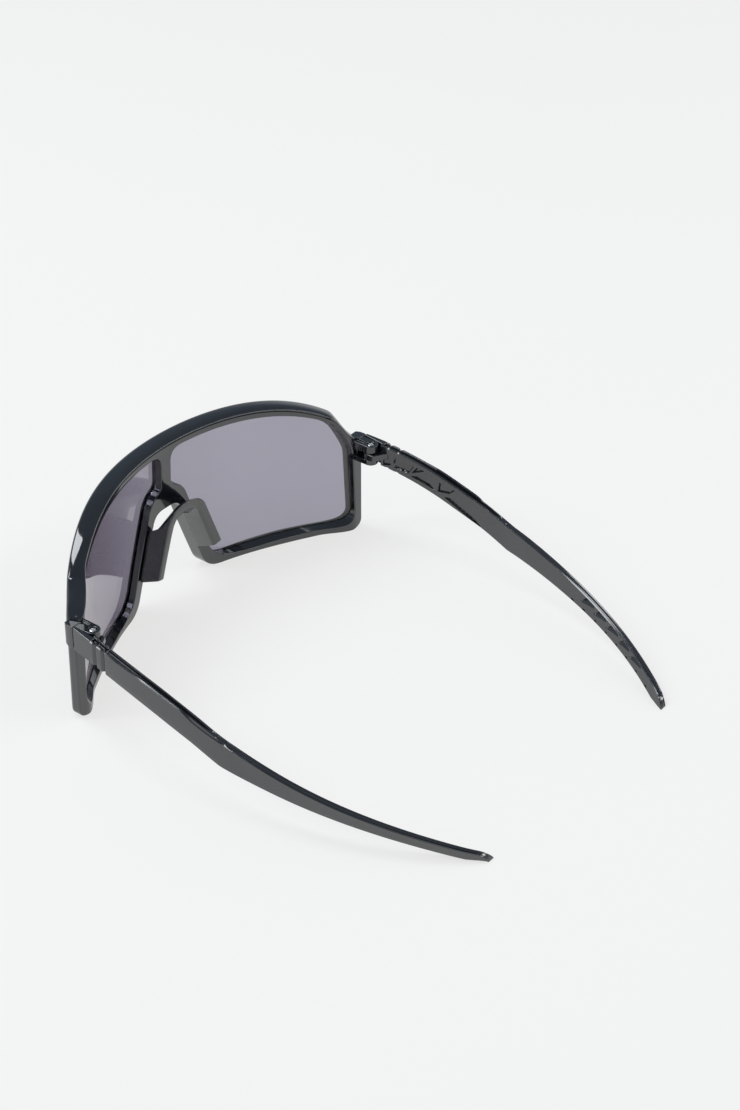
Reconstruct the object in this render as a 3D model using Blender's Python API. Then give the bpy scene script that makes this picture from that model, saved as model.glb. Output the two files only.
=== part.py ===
"""Racer sunglasses: a wrapped full-rim front, two lenses, a soft nose piece and two folding temples.

Frame of the model: X = 0 is the plane of symmetry, +X is the wearer's left, the front faces -Y, the
temples run back along +Y and the glasses stand on Z = 0. Lengths are metres. The origin lies below the
middle of the bounding box of the open glasses.
"""
import math

import bmesh
import bpy
from mathutils import Matrix, Vector

# Clearances
SEAT_GAP = 0.0003
BORE_GAP = 0.0002
CUT_OVERRUN = 0.0006

# Outline of one half of the front
FRONT_HALF_WIDTH = 0.0668
BROW_HEIGHT = 0.0539
NOSE_CORNER_X = 0.0166
BRIDGE_CORNER_X = 0.0052
BRIDGE_SHARE = 0.575
BRIDGE_HEIGHT = BROW_HEIGHT * BRIDGE_SHARE
END_CORNER_LEAD = 0.0085
END_CORNER_ROUND = 0.0026
LOWER_CORNER_ROUND = 0.0052
NOSE_CORNER_ROUND = 0.0052
BRIDGE_CORNER_ROUND = 0.0032

# Wrap of the front, measured on its rear face. Depths are taken forward from the hinge axis.
WRAP_MARGIN = 0.0032
WRAP_HALF_WIDTH = FRONT_HALF_WIDTH + WRAP_MARGIN
WRAP_END_HEIGHT = 0.0313
CENTRE_DEPTH_TOP = 0.0287
CENTRE_DEPTH_BOTTOM = 0.0307
END_DEPTH_TOP = 0.0024
END_DEPTH_BOTTOM = 0.0032
BOW_TOP_SHARE = 0.18
BOW_BOTTOM_SHARE = 0.34
BROW_DROP = BROW_HEIGHT - WRAP_END_HEIGHT
BROW_BOW_SHARE = 0.97
BROW_END_DROP = 0.0034
BROW_END_START_X = 0.0575
BROW_END_REACH = 0.0050

# Aperture of one lens
BAR_HALF_WIDTH = 0.0022
TOP_BAND = 0.0027
END_BAND_TOP = 0.0044
END_BAND_BOTTOM = 0.0031
NOSE_BAND = 0.0030
SHOULDER_BAND = 0.0022
SHOULDER_SHARE = 0.672
BAR_FOOT_SHARE = 0.720
APERTURE_END_X_TOP = FRONT_HALF_WIDTH - END_BAND_TOP
APERTURE_END_X_BOTTOM = FRONT_HALF_WIDTH - END_BAND_BOTTOM
APERTURE_END_FLOOR = 0.0030
APERTURE_NOSE_X = NOSE_CORNER_X + NOSE_BAND
APERTURE_NOSE_FLOOR = 0.0023
APERTURE_SHOULDER_X = BRIDGE_CORNER_X + SHOULDER_BAND
APERTURE_SHOULDER_Z = BROW_HEIGHT * SHOULDER_SHARE
APERTURE_BAR_Z = BROW_HEIGHT * BAR_FOOT_SHARE
APERTURE_TOP_ROUND = 0.0045
APERTURE_END_ROUND = 0.0080
APERTURE_LOWER_ROUND = 0.0075
APERTURE_NOSE_ROUND = 0.0070
APERTURE_SHOULDER_ROUND = 0.0038
APERTURE_BAR_ROUND = 0.0018

# Depths of the rim section, forward of its rear face
RIM_DEPTH_END = 0.0043
RIM_EASE_X = 0.0400
BROW_DEPTH = 0.0062
BROW_DEPTH_END = 0.0036
BROW_ROUND = 0.0009
BROW_CROWN = 0.0007
EDGE_ROUND = 0.0010
LENS_SEAT_DEPTH = 0.0026
LENS_SEAT_DEPTH_END = 0.0010
LENS_THICKNESS = 0.0018
LENS_BITE = 0.0007
LENS_LIP = 0.0009
LENS_LIP_END = 0.0004
RIM_DEPTH = LENS_SEAT_DEPTH + LENS_THICKNESS + SEAT_GAP + LENS_LIP
LENS_RING_SHARES = (0.0, 0.25, 0.5, 0.75, 1.0)

# Rear wall of the lower rim, which flares away from the lens
LOWER_FLARE = 0.0013
LOWER_FLARE_START_X = 0.0200
LOWER_FLARE_REACH = 0.0140

# Flat rear facet at each end of the front
END_FACET_Y = -0.0055
END_FACET_START_X = 0.0530
END_FACET_FULL_X = 0.0629

# Hinge, one stack of three knuckles round a vertical screw
HINGE_INSET = 0.0021
TONGUE_ANCHOR_DEPTH = 0.0013
HINGE_HALF_SPACING = FRONT_HALF_WIDTH - HINGE_INSET
KNUCKLE_RADIUS = 0.0023
HINGE_TOP = 0.0342
UPPER_KNUCKLE = 0.0026
MIDDLE_KNUCKLE = 0.0019
LOWER_KNUCKLE = 0.0018
KNUCKLE_GAP = 0.0003
SCREW_SHANK_RADIUS = 0.00065
SCREW_HEAD_RADIUS = 0.00110
SCREW_HEAD_HEIGHT = 0.0007
SCREW_HEAD_RECESS = 0.0002
SCREW_CROSS_WIDTH = 0.00028
SCREW_CROSS_LENGTH = 0.0013
SCREW_CROSS_DEPTH = 0.00035
SCREW_DOME_SHARE = 0.85
SCREW_TIP_SHARE = 0.60
INSERT_RADIUS = 0.00135
TONGUE_SLOT_START = 0.0022
TONGUE_SLOT_END = 0.0058
TONGUE_SLOT_WIDTH = 0.0014
TONGUE_SLOT_OFFSET = 0.0001
TONGUE_SLOT_DEPTH = 0.0006
END_BLOCK_OUTSET = 0.0014
END_BLOCK_DEPTH = 0.0030
END_BLOCK_INSET = 0.0014
END_BLOCK_MARGIN = 0.0003

# Temple, seen from the hinge axis back to the tip
ARM_LENGTH = 0.1263
ARM_FRONT = 0.0045
ARM_STAND_OUT = 0.0062
ARM_OUTERMOST_X = HINGE_HALF_SPACING + ARM_STAND_OUT
ARM_OUTERMOST_Y = 0.0280
ARM_FRONT_TUCK = 0.0019
ARM_CURL = 0.0261
ARM_CURL_POWER = 2.6
ARM_TOP_LINE = 0.0366
ARM_TIP_TOP = 0.0021
ARM_LEVEL_Y = 0.0300
ARM_LEVEL_DROP = 0.0024
ARM_HEIGHT_FRONT = 0.0077
ARM_HEIGHT_KNEE = 0.0088
ARM_KNEE_Y = 0.0516
ARM_TAPER_POWER = 1.8
ARM_DIP = 0.0009
ARM_DIP_Y = 0.0400
ARM_DIP_REACH = 0.0140
ARM_DIP_END_Y = 0.0700
ARM_DIP_FADE = 0.0450
ARM_SLANT_Y = 0.0560
ARM_TIP_SLANT = 0.39
ARM_TIP_HEIGHT = 0.0036
ARM_THICK_FRONT = 0.0029
ARM_THICK_REAR = 0.0024
CHANNEL_DEPTH = 0.0009
CHANNEL_FADE = 0.0076
CHANNEL_END_Y = ARM_KNEE_Y - CHANNEL_FADE
GROOVE_PLACES = (0.0050, 0.0086)
GROOVE_HALF_WIDTH = 0.0008
GROOVE_DEPTH = 0.0006
PLATE_RISE = 0.0009
PLATE_RISE_Y = 0.0150
PLATE_RISE_REACH = 0.0110
SHOULDER_DROP = 0.0007
SHOULDER_Y = 0.0375
SHOULDER_REACH = 0.0055
SHOULDER_FADE = 0.0150
TIP_ROUND = 0.0030
TIP_CLOSE_SHARE = 0.20
PLATE_SHARE = 0.28
CHANNEL_SLOPE_SHARE = 0.06
CHANNEL_SHARE = 0.40
POCKET_DEPTH = 0.0007
# Outlines of the pockets in the inner face, as shares of the way to the knee and of the height
POCKET_SHARES = (
    ((0.065, 0.16), (0.065, 0.70), (0.090, 0.74), (0.118, 0.18)),
    ((0.148, 0.22), (0.148, 0.72), (0.290, 0.74), (0.250, 0.24)),
    ((0.290, 0.12), (0.375, 0.50), (0.450, 0.12)),
    ((0.300, 0.40), (0.330, 0.72), (0.385, 0.72)),
    ((0.475, 0.30), (0.485, 0.72), (0.610, 0.72), (0.560, 0.44)),
    ((0.520, 0.12), (0.630, 0.46), (0.820, 0.12)),
)

# Nose piece, two pads joined by a strap that arches behind the bridge. Its stations run from a pad's
# foot up to the middle: height as a share of the bridge's height, half width of the nose side as a
# share of the nose edge's, set-back as a share of the reach, the half width's share at the rear, the
# rise towards the rear, the lean of the thickness in degrees, and the thickness.
NOSE_REACH = 0.0079
NOSE_STATIONS = (
    (0.335, 0.955, 0.00, 0.923, 0.0035, 20, 0.0034),
    (0.568, 0.938, 0.00, 0.888, 0.0039, 20, 0.0034),
    (0.819, 0.923, 0.00, 0.840, 0.0037, 22, 0.0034),
    (0.877, 0.894, 0.40, 0.773, 0.0038, 34, 0.0036),
    (0.945, 0.686, 0.60, 0.583, 0.0032, 58, 0.0036),
    (1.000, 0.000, 0.65, 0.000, 0.0020, 90, 0.0035),
)
# Corners of the nose piece's section, as shares of its depth and of its thickness
NOSE_SECTION_SHARES = ((0, 0.15), (0.12, 0), (0.88, 0), (1, 0.15), (1, 0.8), (0.88, 1), (0.12, 1), (0, 0.85))

# Mesh finish
MERGE_DISTANCE = 0.000002
SHARP_DEGREES = 35

# Counts
EDGE_STEPS = (22, 9, 18, 8, 3, 5)
CORNER_STEPS = 6
ARM_STEPS = 46
ROUND_SIDES = 24
NOSE_STEPS = 4


def smoothstep(share):
    """Ease from 0 to 1 as share goes from 0 to 1."""
    share = min(max(share, 0.0), 1.0)
    return share * share * (3.0 - 2.0 * share)


def brow_height(x):
    """Height of the rear top edge of the front."""
    share = (x / WRAP_HALF_WIDTH) ** 2
    bow = (1 - BROW_BOW_SHARE) * share + BROW_BOW_SHARE * share ** 2
    end = smoothstep((x - BROW_END_START_X) / BROW_END_REACH)
    return BROW_HEIGHT - BROW_DROP * bow - BROW_END_DROP * end


def wrap_depth(x, centre, end, bow):
    """Place along Y of the rear face at half width x, for one horizontal curve of the wrap."""
    share = (x / WRAP_HALF_WIDTH) ** 2
    return -centre + (centre - end) * ((1 + bow) * share - bow * share ** 2)


def rear_face(x, z):
    """Place along Y of the rear face of the front."""
    top = wrap_depth(x, CENTRE_DEPTH_TOP, END_DEPTH_TOP, BOW_TOP_SHARE)
    bottom = wrap_depth(x, CENTRE_DEPTH_BOTTOM, END_DEPTH_BOTTOM, BOW_BOTTOM_SHARE)
    return bottom + (top - bottom) * z / brow_height(x)


def end_step(x, z):
    """How far the flat facet at the front's end stands behind the wrapped rear face."""
    across = (x - END_FACET_START_X) / (END_FACET_FULL_X - END_FACET_START_X)
    return min(max(across, 0.0), 1.0) ** 2 * (END_FACET_Y - rear_face(x, z))


def outward_ease(x):
    """Ease from 0 in the middle of the front to 1 at its end."""
    return smoothstep((x - RIM_EASE_X) / (FRONT_HALF_WIDTH - RIM_EASE_X))


def lens_seat(x):
    """Depth of the lens's rear surface ahead of the wrapped rear face."""
    return LENS_SEAT_DEPTH + (LENS_SEAT_DEPTH_END - LENS_SEAT_DEPTH) * outward_ease(x)


def rim_depth(x):
    """Depth of the rim's front face ahead of the wrapped rear face."""
    return RIM_DEPTH + (RIM_DEPTH_END - RIM_DEPTH) * outward_ease(x)


def lens_lip(x):
    """Height of the rim's front lip over the lens groove."""
    return LENS_LIP + (LENS_LIP_END - LENS_LIP) * outward_ease(x)


def lower_flare(x, away):
    """How far the rim's rear edge stands off the lens. away is the way from the lens to the rim."""
    return LOWER_FLARE * max(0.0, -away.y) ** 2 * smoothstep((x - LOWER_FLARE_START_X) / LOWER_FLARE_REACH)


def unrolled(x, z):
    """Stretch a height so that the brow's edge becomes a level line."""
    return Vector((x, z * BROW_HEIGHT / brow_height(x)))


def rolled(point):
    """Undo unrolled."""
    return Vector((point.x, point.y * brow_height(point.x) / BROW_HEIGHT))


def outline(corners, steps):
    """Points along a closed outline. Each corner is (point, reach before, reach after, sharp)."""
    count = len(corners)
    starts = []
    ends = []
    for index, (point, lead, trail, sharp) in enumerate(corners):
        before = (corners[index - 1][0] - point).normalized()
        after = (corners[(index + 1) % count][0] - point).normalized()
        starts.append(point + before * lead)
        ends.append(point + after * trail)
    points = []
    for index, (point, lead, trail, sharp) in enumerate(corners):
        for step in range(CORNER_STEPS + 1):
            share = step / CORNER_STEPS
            if sharp and share <= 0.5:
                points.append(starts[index].lerp(point, 2 * share))
            elif sharp:
                points.append(point.lerp(ends[index], 2 * share - 1))
            else:
                first = starts[index].lerp(point, share)
                points.append(first.lerp(point.lerp(ends[index], share), share))
        following = starts[(index + 1) % count]
        for step in range(1, steps[index]):
            points.append(ends[index].lerp(following, step / steps[index]))
    return points


def front_outlines():
    """Matching points on the aperture and on the outer edge of one half of the front."""
    band = BROW_HEIGHT - TOP_BAND
    inner = [
        (Vector((BAR_HALF_WIDTH, band)), APERTURE_TOP_ROUND, APERTURE_TOP_ROUND, False),
        (Vector((APERTURE_END_X_TOP, band)), APERTURE_END_ROUND, APERTURE_END_ROUND, False),
        (unrolled(APERTURE_END_X_BOTTOM, APERTURE_END_FLOOR), APERTURE_LOWER_ROUND,
         APERTURE_LOWER_ROUND, False),
        (unrolled(APERTURE_NOSE_X, APERTURE_NOSE_FLOOR), APERTURE_NOSE_ROUND, APERTURE_NOSE_ROUND,
         False),
        (unrolled(APERTURE_SHOULDER_X, APERTURE_SHOULDER_Z), APERTURE_SHOULDER_ROUND,
         APERTURE_SHOULDER_ROUND, False),
        (unrolled(BAR_HALF_WIDTH, APERTURE_BAR_Z), APERTURE_BAR_ROUND, APERTURE_BAR_ROUND, False),
    ]
    outer = [
        (Vector((0, BROW_HEIGHT)), APERTURE_TOP_ROUND, APERTURE_TOP_ROUND, True),
        (Vector((FRONT_HALF_WIDTH, BROW_HEIGHT)), END_CORNER_LEAD, END_CORNER_ROUND, False),
        (Vector((FRONT_HALF_WIDTH, 0)), LOWER_CORNER_ROUND, LOWER_CORNER_ROUND, False),
        (Vector((NOSE_CORNER_X, 0)), NOSE_CORNER_ROUND, NOSE_CORNER_ROUND, False),
        (unrolled(BRIDGE_CORNER_X, BRIDGE_HEIGHT), BRIDGE_CORNER_ROUND, BRIDGE_CORNER_ROUND, False),
        (unrolled(0, BRIDGE_HEIGHT), APERTURE_BAR_ROUND, APERTURE_BAR_ROUND, True),
    ]
    inner_points = [rolled(point) for point in outline(inner, EDGE_STEPS)]
    outer_points = [rolled(point) for point in outline(outer, EDGE_STEPS)]
    return inner_points, outer_points


def station_kind():
    """For each station: 1 on the brow, 0 elsewhere, eased; and whether its outer wall is open."""
    brow = []
    open_wall = []
    arc = CORNER_STEPS + 1
    half_arc = CORNER_STEPS // 2
    for edge, steps in enumerate(EDGE_STEPS):
        for step in range(arc + steps - 1):
            on_corner = step < arc
            if edge == 0:
                brow.append(1.0 if not on_corner or step >= half_arc else smoothstep(step / half_arc))
            elif edge == 1:
                brow.append(1 - smoothstep(step / CORNER_STEPS) if on_corner else 0.0)
            else:
                brow.append(0.0)
            before_top = edge == 0 and on_corner and step < half_arc
            past_bridge = edge == 5 and (not on_corner or step >= half_arc)
            open_wall.append(before_top or past_bridge)
    return brow, open_wall


def brow_slope(x):
    """Slope of the brow's rear edge in plan."""
    share = (x / WRAP_HALF_WIDTH) ** 2
    bend = (1 + BOW_TOP_SHARE) - 2 * BOW_TOP_SHARE * share
    return 2 * x * (CENTRE_DEPTH_TOP - END_DEPTH_TOP) * bend / WRAP_HALF_WIDTH ** 2


def section(inner, outer, brow):
    """Corner points of the rim's section at one station, as (x, z, depth, lift, turn)."""
    span = (outer - inner).length
    brow_front = BROW_DEPTH - (BROW_DEPTH - BROW_DEPTH_END) * (outer.x / FRONT_HALF_WIDTH) ** 4
    front = rim_depth(outer.x) + (brow_front - rim_depth(outer.x)) * brow
    groove = (LENS_BITE + SEAT_GAP) / span
    groove_back = lens_seat(inner.x) - SEAT_GAP
    groove_front = lens_seat(inner.x) + LENS_THICKNESS + SEAT_GAP
    inner_front = groove_front + lens_lip(inner.x)
    flare = lower_flare(inner.x, (outer - inner) / span) / span
    rear_edge = inner.lerp(outer, flare)
    edge = EDGE_ROUND + (BROW_ROUND - EDGE_ROUND) * brow
    rounding = EDGE_ROUND / span
    crown = BROW_CROWN * brow
    outer_rounding = edge / span
    drop = 0
    if outer.x <= 0:
        outer_rounding = 0
        drop = -edge * brow
    places = [
        (flare, -end_step(rear_edge.x, rear_edge.y), 0, 0),
        (1, -end_step(outer.x, outer.y), 0, 0),
        (1, (front - edge) / 2, crown, brow),
        (1, front - edge, crown, brow),
        (1 - outer_rounding, front, drop + crown, brow),
        (rounding, inner_front, 0, 0),
        (0, (groove_front + inner_front) / 2, 0, 0),
        (0, groove_front, 0, 0),
        (groove, groove_front, 0, 0),
        (groove, groove_back, 0, 0),
        (0, groove_back, 0, 0),
    ]
    points = []
    for along, depth, lift, turn in places:
        flat = inner.lerp(outer, along)
        points.append((flat.x, flat.y, depth, lift, turn))
    return points


OUTER_WALL = (1, 2, 3)


def wrapped(x, z, depth, turn=0):
    """A point of the front, given in front view and by its depth ahead of the rear face.

    turn swings the way ahead from straight forward (0) to square with the brow in plan (1).
    """
    slope = turn * brow_slope(x)
    reach = depth / math.hypot(1, slope)
    return Vector((x + slope * reach, rear_face(x, z) - reach, z))


def new_mesh_object(name, vertices, faces, material):
    """An object whose faces all point out, with near vertices merged."""
    mesh = bpy.data.meshes.new(name)
    mesh.from_pydata([tuple(vertex) for vertex in vertices], [], faces)
    shape = bmesh.new()
    shape.from_mesh(mesh)
    bmesh.ops.remove_doubles(shape, verts=shape.verts, dist=MERGE_DISTANCE)
    bmesh.ops.recalc_face_normals(shape, faces=shape.faces)
    shape.to_mesh(mesh)
    shape.free()
    mesh.materials.append(material)
    mesh.shade_smooth()
    mesh.set_sharp_from_angle(angle=math.radians(SHARP_DEGREES))
    piece = bpy.data.objects.new(name, mesh)
    bpy.context.collection.objects.link(piece)
    return piece


def loft(rings, closed, caps):
    """Faces between rings of equal length. closed joins the last ring to the first."""
    size = len(rings[0])
    vertices = [point for ring in rings for point in ring]
    faces = []
    last = len(rings) if closed else len(rings) - 1
    for index in range(last):
        here = index * size
        there = (index + 1) % len(rings) * size
        for corner in range(size):
            following = (corner + 1) % size
            faces.append((here + corner, here + following, there + following, there + corner))
    if caps:
        faces.append(tuple(range(size)))
        faces.append(tuple(range((len(rings) - 1) * size, len(rings) * size)))
    return vertices, faces


def plastic(name, color, roughness, metallic=0.0, transmission=0.0):
    """A Principled material."""
    material = bpy.data.materials.new(name)
    material.use_nodes = True
    shader = material.node_tree.nodes["Principled BSDF"]
    shader.inputs["Base Color"].default_value = (*color, 1.0)
    shader.inputs["Roughness"].default_value = roughness
    shader.inputs["Metallic"].default_value = metallic
    shader.inputs["Transmission Weight"].default_value = transmission
    return material


def modified(piece, cutter, operation):
    """Apply one exact boolean to piece and hide the other object from the model."""
    modifier = piece.modifiers.new(cutter.name, "BOOLEAN")
    modifier.operation = operation
    modifier.solver = "EXACT"
    modifier.object = cutter
    cutter.hide_render = True
    cutter.display_type = "WIRE"


def turned(name, profile, centre, material):
    """A solid of revolution round an upright axis. profile holds (radius, height) from the foot up."""
    rings = []
    for radius, height in profile:
        ring = []
        for side in range(ROUND_SIDES):
            angle = math.tau * side / ROUND_SIDES
            ring.append(Vector((centre.x + radius * math.cos(angle),
                                centre.y + radius * math.sin(angle), height)))
        rings.append(ring)
    vertices, faces = loft(rings, False, True)
    return new_mesh_object(name, vertices, faces, material)


def prism(name, plan, bottom, top, material):
    """A plan outline extruded between two heights."""
    rings = [[Vector((x, y, height)) for x, y in plan] for height in (bottom, top)]
    vertices, faces = loft(rings, False, True)
    return new_mesh_object(name, vertices, faces, material)


def mirrored_plan(plan, side):
    """A plan outline given for +X, on the chosen side."""
    return [(side * x, y) for x, y in plan]


def tongue_plan(reach_front):
    """Plan of a knuckle with a straight neck that runs forward to reach_front."""
    plan = []
    for step in range(ROUND_SIDES // 2 + 1):
        angle = math.pi * step / (ROUND_SIDES // 2)
        plan.append((HINGE_HALF_SPACING + KNUCKLE_RADIUS * math.cos(angle),
                     KNUCKLE_RADIUS * math.sin(angle)))
    plan.append((HINGE_HALF_SPACING - KNUCKLE_RADIUS, -reach_front))
    plan.append((HINGE_HALF_SPACING + KNUCKLE_RADIUS, -reach_front))
    return plan


def make_front_rim(material):
    """Both rims with the brow, centre bar and bridge, as one closed skin."""
    inner, outer = front_outlines()
    brow, open_wall = station_kind()
    rings = [section(*pair) for pair in zip(inner, outer, brow)]
    size = len(rings[0])
    vertices = []
    faces = []
    for side in (1, -1):
        base = len(vertices)
        for ring in rings:
            for x, z, depth, lift, turn in ring:
                point = wrapped(x, z, depth, turn)
                vertices.append(Vector((side * point.x, point.y, point.z + lift)))
        for index in range(len(rings)):
            here = base + index * size
            there = base + (index + 1) % len(rings) * size
            for corner in range(size):
                if open_wall[index] and corner in OUTER_WALL:
                    continue
                following = (corner + 1) % size
                faces.append((here + corner, here + following, there + following, there + corner))
    return new_mesh_object("front_frame", vertices, faces, material)


def hinge_levels():
    """Heights of the knuckles, from the top down: (bottom, top) of upper, middle and lower."""
    upper = (HINGE_TOP - UPPER_KNUCKLE, HINGE_TOP)
    middle_top = upper[0] - KNUCKLE_GAP
    middle = (middle_top - MIDDLE_KNUCKLE, middle_top)
    lower_top = middle[0] - KNUCKLE_GAP
    return upper, middle, (lower_top - LOWER_KNUCKLE, lower_top)


def add_front_hinge(front, side, material):
    """End block, tongues and bores of one hinge."""
    upper, middle, lower = hinge_levels()
    name = "left" if side > 0 else "right"
    axis = Vector((side * HINGE_HALF_SPACING, 0, 0))
    anchor = -rear_face(HINGE_HALF_SPACING, HINGE_TOP) + TONGUE_ANCHOR_DEPTH
    for label, levels in (("upper_tongue", upper), ("lower_tongue", lower)):
        plan = mirrored_plan(tongue_plan(anchor), side)
        tongue = prism(f"{label}_{name}", plan, levels[0], levels[1], material)
        modified(front, tongue, "UNION")
    inner_x = HINGE_HALF_SPACING - KNUCKLE_RADIUS + END_BLOCK_INSET
    outer_x = FRONT_HALF_WIDTH + END_BLOCK_OUTSET
    rear_y = -(ARM_FRONT + SEAT_GAP)
    front_y = -anchor - END_BLOCK_DEPTH / 2
    block = [(inner_x, front_y), (outer_x - END_BLOCK_OUTSET / 2, front_y),
             (outer_x, front_y + END_BLOCK_DEPTH / 2), (outer_x, rear_y), (inner_x, rear_y)]
    body = prism(f"end_block_{name}", mirrored_plan(block, side), lower[0] - END_BLOCK_MARGIN,
                 upper[1] + END_BLOCK_MARGIN, material)
    modified(front, body, "UNION")
    bore_radius = SCREW_SHANK_RADIUS + BORE_GAP
    pocket_radius = INSERT_RADIUS + BORE_GAP
    seat_radius = SCREW_HEAD_RADIUS + BORE_GAP
    pocket_top = lower[1] - SEAT_GAP
    seat_floor = upper[1] - SCREW_HEAD_RECESS - SCREW_HEAD_HEIGHT - SEAT_GAP
    profile = [(pocket_radius, lower[0] - CUT_OVERRUN), (pocket_radius, pocket_top),
               (bore_radius, pocket_top), (bore_radius, seat_floor), (seat_radius, seat_floor),
               (seat_radius, upper[1] + CUT_OVERRUN)]
    bore = turned(f"bore_{name}", profile, axis, material)
    modified(front, bore, "DIFFERENCE")
    slot_outer = HINGE_HALF_SPACING - TONGUE_SLOT_OFFSET
    slot_inner = slot_outer - TONGUE_SLOT_WIDTH
    slot_plan = [(slot_inner, -TONGUE_SLOT_START), (slot_outer, -TONGUE_SLOT_START),
                 (slot_outer, -TONGUE_SLOT_END), (slot_inner, -TONGUE_SLOT_END)]
    slot = prism(f"tongue_slot_{name}", mirrored_plan(slot_plan, side), upper[1] - TONGUE_SLOT_DEPTH,
                 upper[1] + END_BLOCK_MARGIN + CUT_OVERRUN, material)
    modified(front, slot, "DIFFERENCE")


def make_lens(side, material):
    """One lens, whose edge lies in the rim's groove."""
    inner, outer = front_outlines()
    edge = []
    for near, far in zip(inner, outer):
        edge.append(near.lerp(far, LENS_BITE / (far - near).length))
    centre = sum(edge, Vector((0, 0))) / len(edge)
    rings = []
    for ahead in (0, LENS_THICKNESS):
        for share in LENS_RING_SHARES if not rings else reversed(LENS_RING_SHARES):
            ring = []
            for point in edge:
                flat = centre.lerp(point, share)
                spot = wrapped(flat.x, flat.y, lens_seat(flat.x) + ahead)
                ring.append(Vector((side * spot.x, spot.y, spot.z)))
            rings.append(ring)
    vertices, faces = loft(rings, False, False)
    name = "lens_left" if side > 0 else "lens_right"
    return new_mesh_object(name, vertices, faces, material)


def arm_outer(y):
    """Half width of the temple's outer face."""
    if y < ARM_OUTERMOST_Y:
        return ARM_OUTERMOST_X - ARM_FRONT_TUCK * ((ARM_OUTERMOST_Y - y) / ARM_OUTERMOST_Y) ** 2
    share = (y - ARM_OUTERMOST_Y) / (ARM_LENGTH - ARM_OUTERMOST_Y)
    return ARM_OUTERMOST_X - ARM_CURL * share ** ARM_CURL_POWER


def arm_top(y):
    """Height of the temple's top edge."""
    level = ARM_TOP_LINE - (ARM_TOP_LINE - ARM_TIP_TOP) * y / ARM_LENGTH
    if y < ARM_LEVEL_Y:
        level -= ARM_LEVEL_DROP * (1 - y / ARM_LEVEL_Y) ** 2
    dip = smoothstep((y - ARM_DIP_Y) / ARM_DIP_REACH)
    return level - ARM_DIP * dip * (1 - smoothstep((y - ARM_DIP_END_Y) / ARM_DIP_FADE))


def arm_height(y):
    """Height of the temple's section."""
    if y < ARM_KNEE_Y:
        share = (y + ARM_FRONT) / (ARM_KNEE_Y + ARM_FRONT)
        return ARM_HEIGHT_FRONT + (ARM_HEIGHT_KNEE - ARM_HEIGHT_FRONT) * share ** 2
    left = max((ARM_LENGTH - y) / (ARM_LENGTH - ARM_KNEE_Y), 0)
    return ARM_TIP_HEIGHT + (ARM_HEIGHT_KNEE - ARM_TIP_HEIGHT) * left ** ARM_TAPER_POWER


def arm_thickness(y):
    """Thickness of the temple across its section."""
    share = (y - ARM_OUTERMOST_Y) / (ARM_KNEE_Y - ARM_OUTERMOST_Y)
    return ARM_THICK_FRONT + (ARM_THICK_REAR - ARM_THICK_FRONT) * smoothstep(share)


def channel_depth(y):
    """Depth of the channel along the temple's top."""
    fade = 1 - smoothstep((y - CHANNEL_END_Y) / (ARM_KNEE_Y - CHANNEL_END_Y))
    return CHANNEL_DEPTH * fade


def plate_rise(y):
    """How far the outer edge of the temple's top stands above the rest, below 0 behind the shoulder."""
    rise = PLATE_RISE * smoothstep((y - PLATE_RISE_Y) / PLATE_RISE_REACH)
    fall = (PLATE_RISE + SHOULDER_DROP) * smoothstep((y - SHOULDER_Y) / SHOULDER_REACH)
    return rise - fall + SHOULDER_DROP * smoothstep((y - SHOULDER_Y - SHOULDER_REACH) / SHOULDER_FADE)


def arm_slant(y):
    """Outward lean of the temple's section per unit of height."""
    return ARM_TIP_SLANT * max(y - ARM_SLANT_Y, 0) / (ARM_LENGTH - ARM_SLANT_Y)


def groove_cut(y):
    """How far the outer face is cut back by its two upright grooves."""
    cut = 0.0
    for place in GROOVE_PLACES:
        cut = max(cut, GROOVE_DEPTH * (1 - abs(y - place) / GROOVE_HALF_WIDTH))
    return cut


def arm_section(y, side):
    """The temple's section at one place."""
    cut = groove_cut(y)
    outer = arm_outer(y) - cut
    top = arm_top(y) - cut / 2
    bottom = max(arm_top(y) - arm_height(y), 0.0)
    inner = arm_outer(y) - arm_thickness(y)
    ending = 1 - max(0.0, (y - ARM_LENGTH + TIP_ROUND) / TIP_ROUND)
    closing = math.sqrt(max(1 - (1 - ending) ** 2, TIP_CLOSE_SHARE ** 2))
    if ending < 1:
        top = bottom + (top - bottom) * closing
    floor = top - channel_depth(y)
    thick = outer - inner
    wall = outer - thick * PLATE_SHARE
    foot = wall - thick * CHANNEL_SLOPE_SHARE
    far_foot = foot - thick * (CHANNEL_SHARE - CHANNEL_SLOPE_SHARE)
    far_wall = far_foot - thick * CHANNEL_SLOPE_SHARE
    rise = plate_rise(y)
    places = [(outer, bottom), (outer, top + rise), (wall, top + max(rise, 0)), (foot, floor),
              (far_foot, floor), (far_wall, top), (inner, top), (inner, bottom)]
    slant = arm_slant(y)
    middle = (top + bottom) / 2
    return [Vector((side * (x + slant * (z - middle)), y, z)) for x, z in places]


def arm_stations():
    """Places along the temple where its section is drawn."""
    places = {ARM_KNEE_Y, CHANNEL_END_Y, SHOULDER_Y, SHOULDER_Y + SHOULDER_REACH, ARM_LENGTH}
    for place in GROOVE_PLACES:
        places.update((place - GROOVE_HALF_WIDTH, place, place + GROOVE_HALF_WIDTH))
    start = KNUCKLE_RADIUS + SEAT_GAP
    for step in range(ARM_STEPS + 1):
        place = start + (ARM_LENGTH - start) * step / ARM_STEPS
        near = [other for other in places if abs(other - place) < GROOVE_HALF_WIDTH]
        if not near:
            places.add(place)
    return sorted(places)


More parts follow.
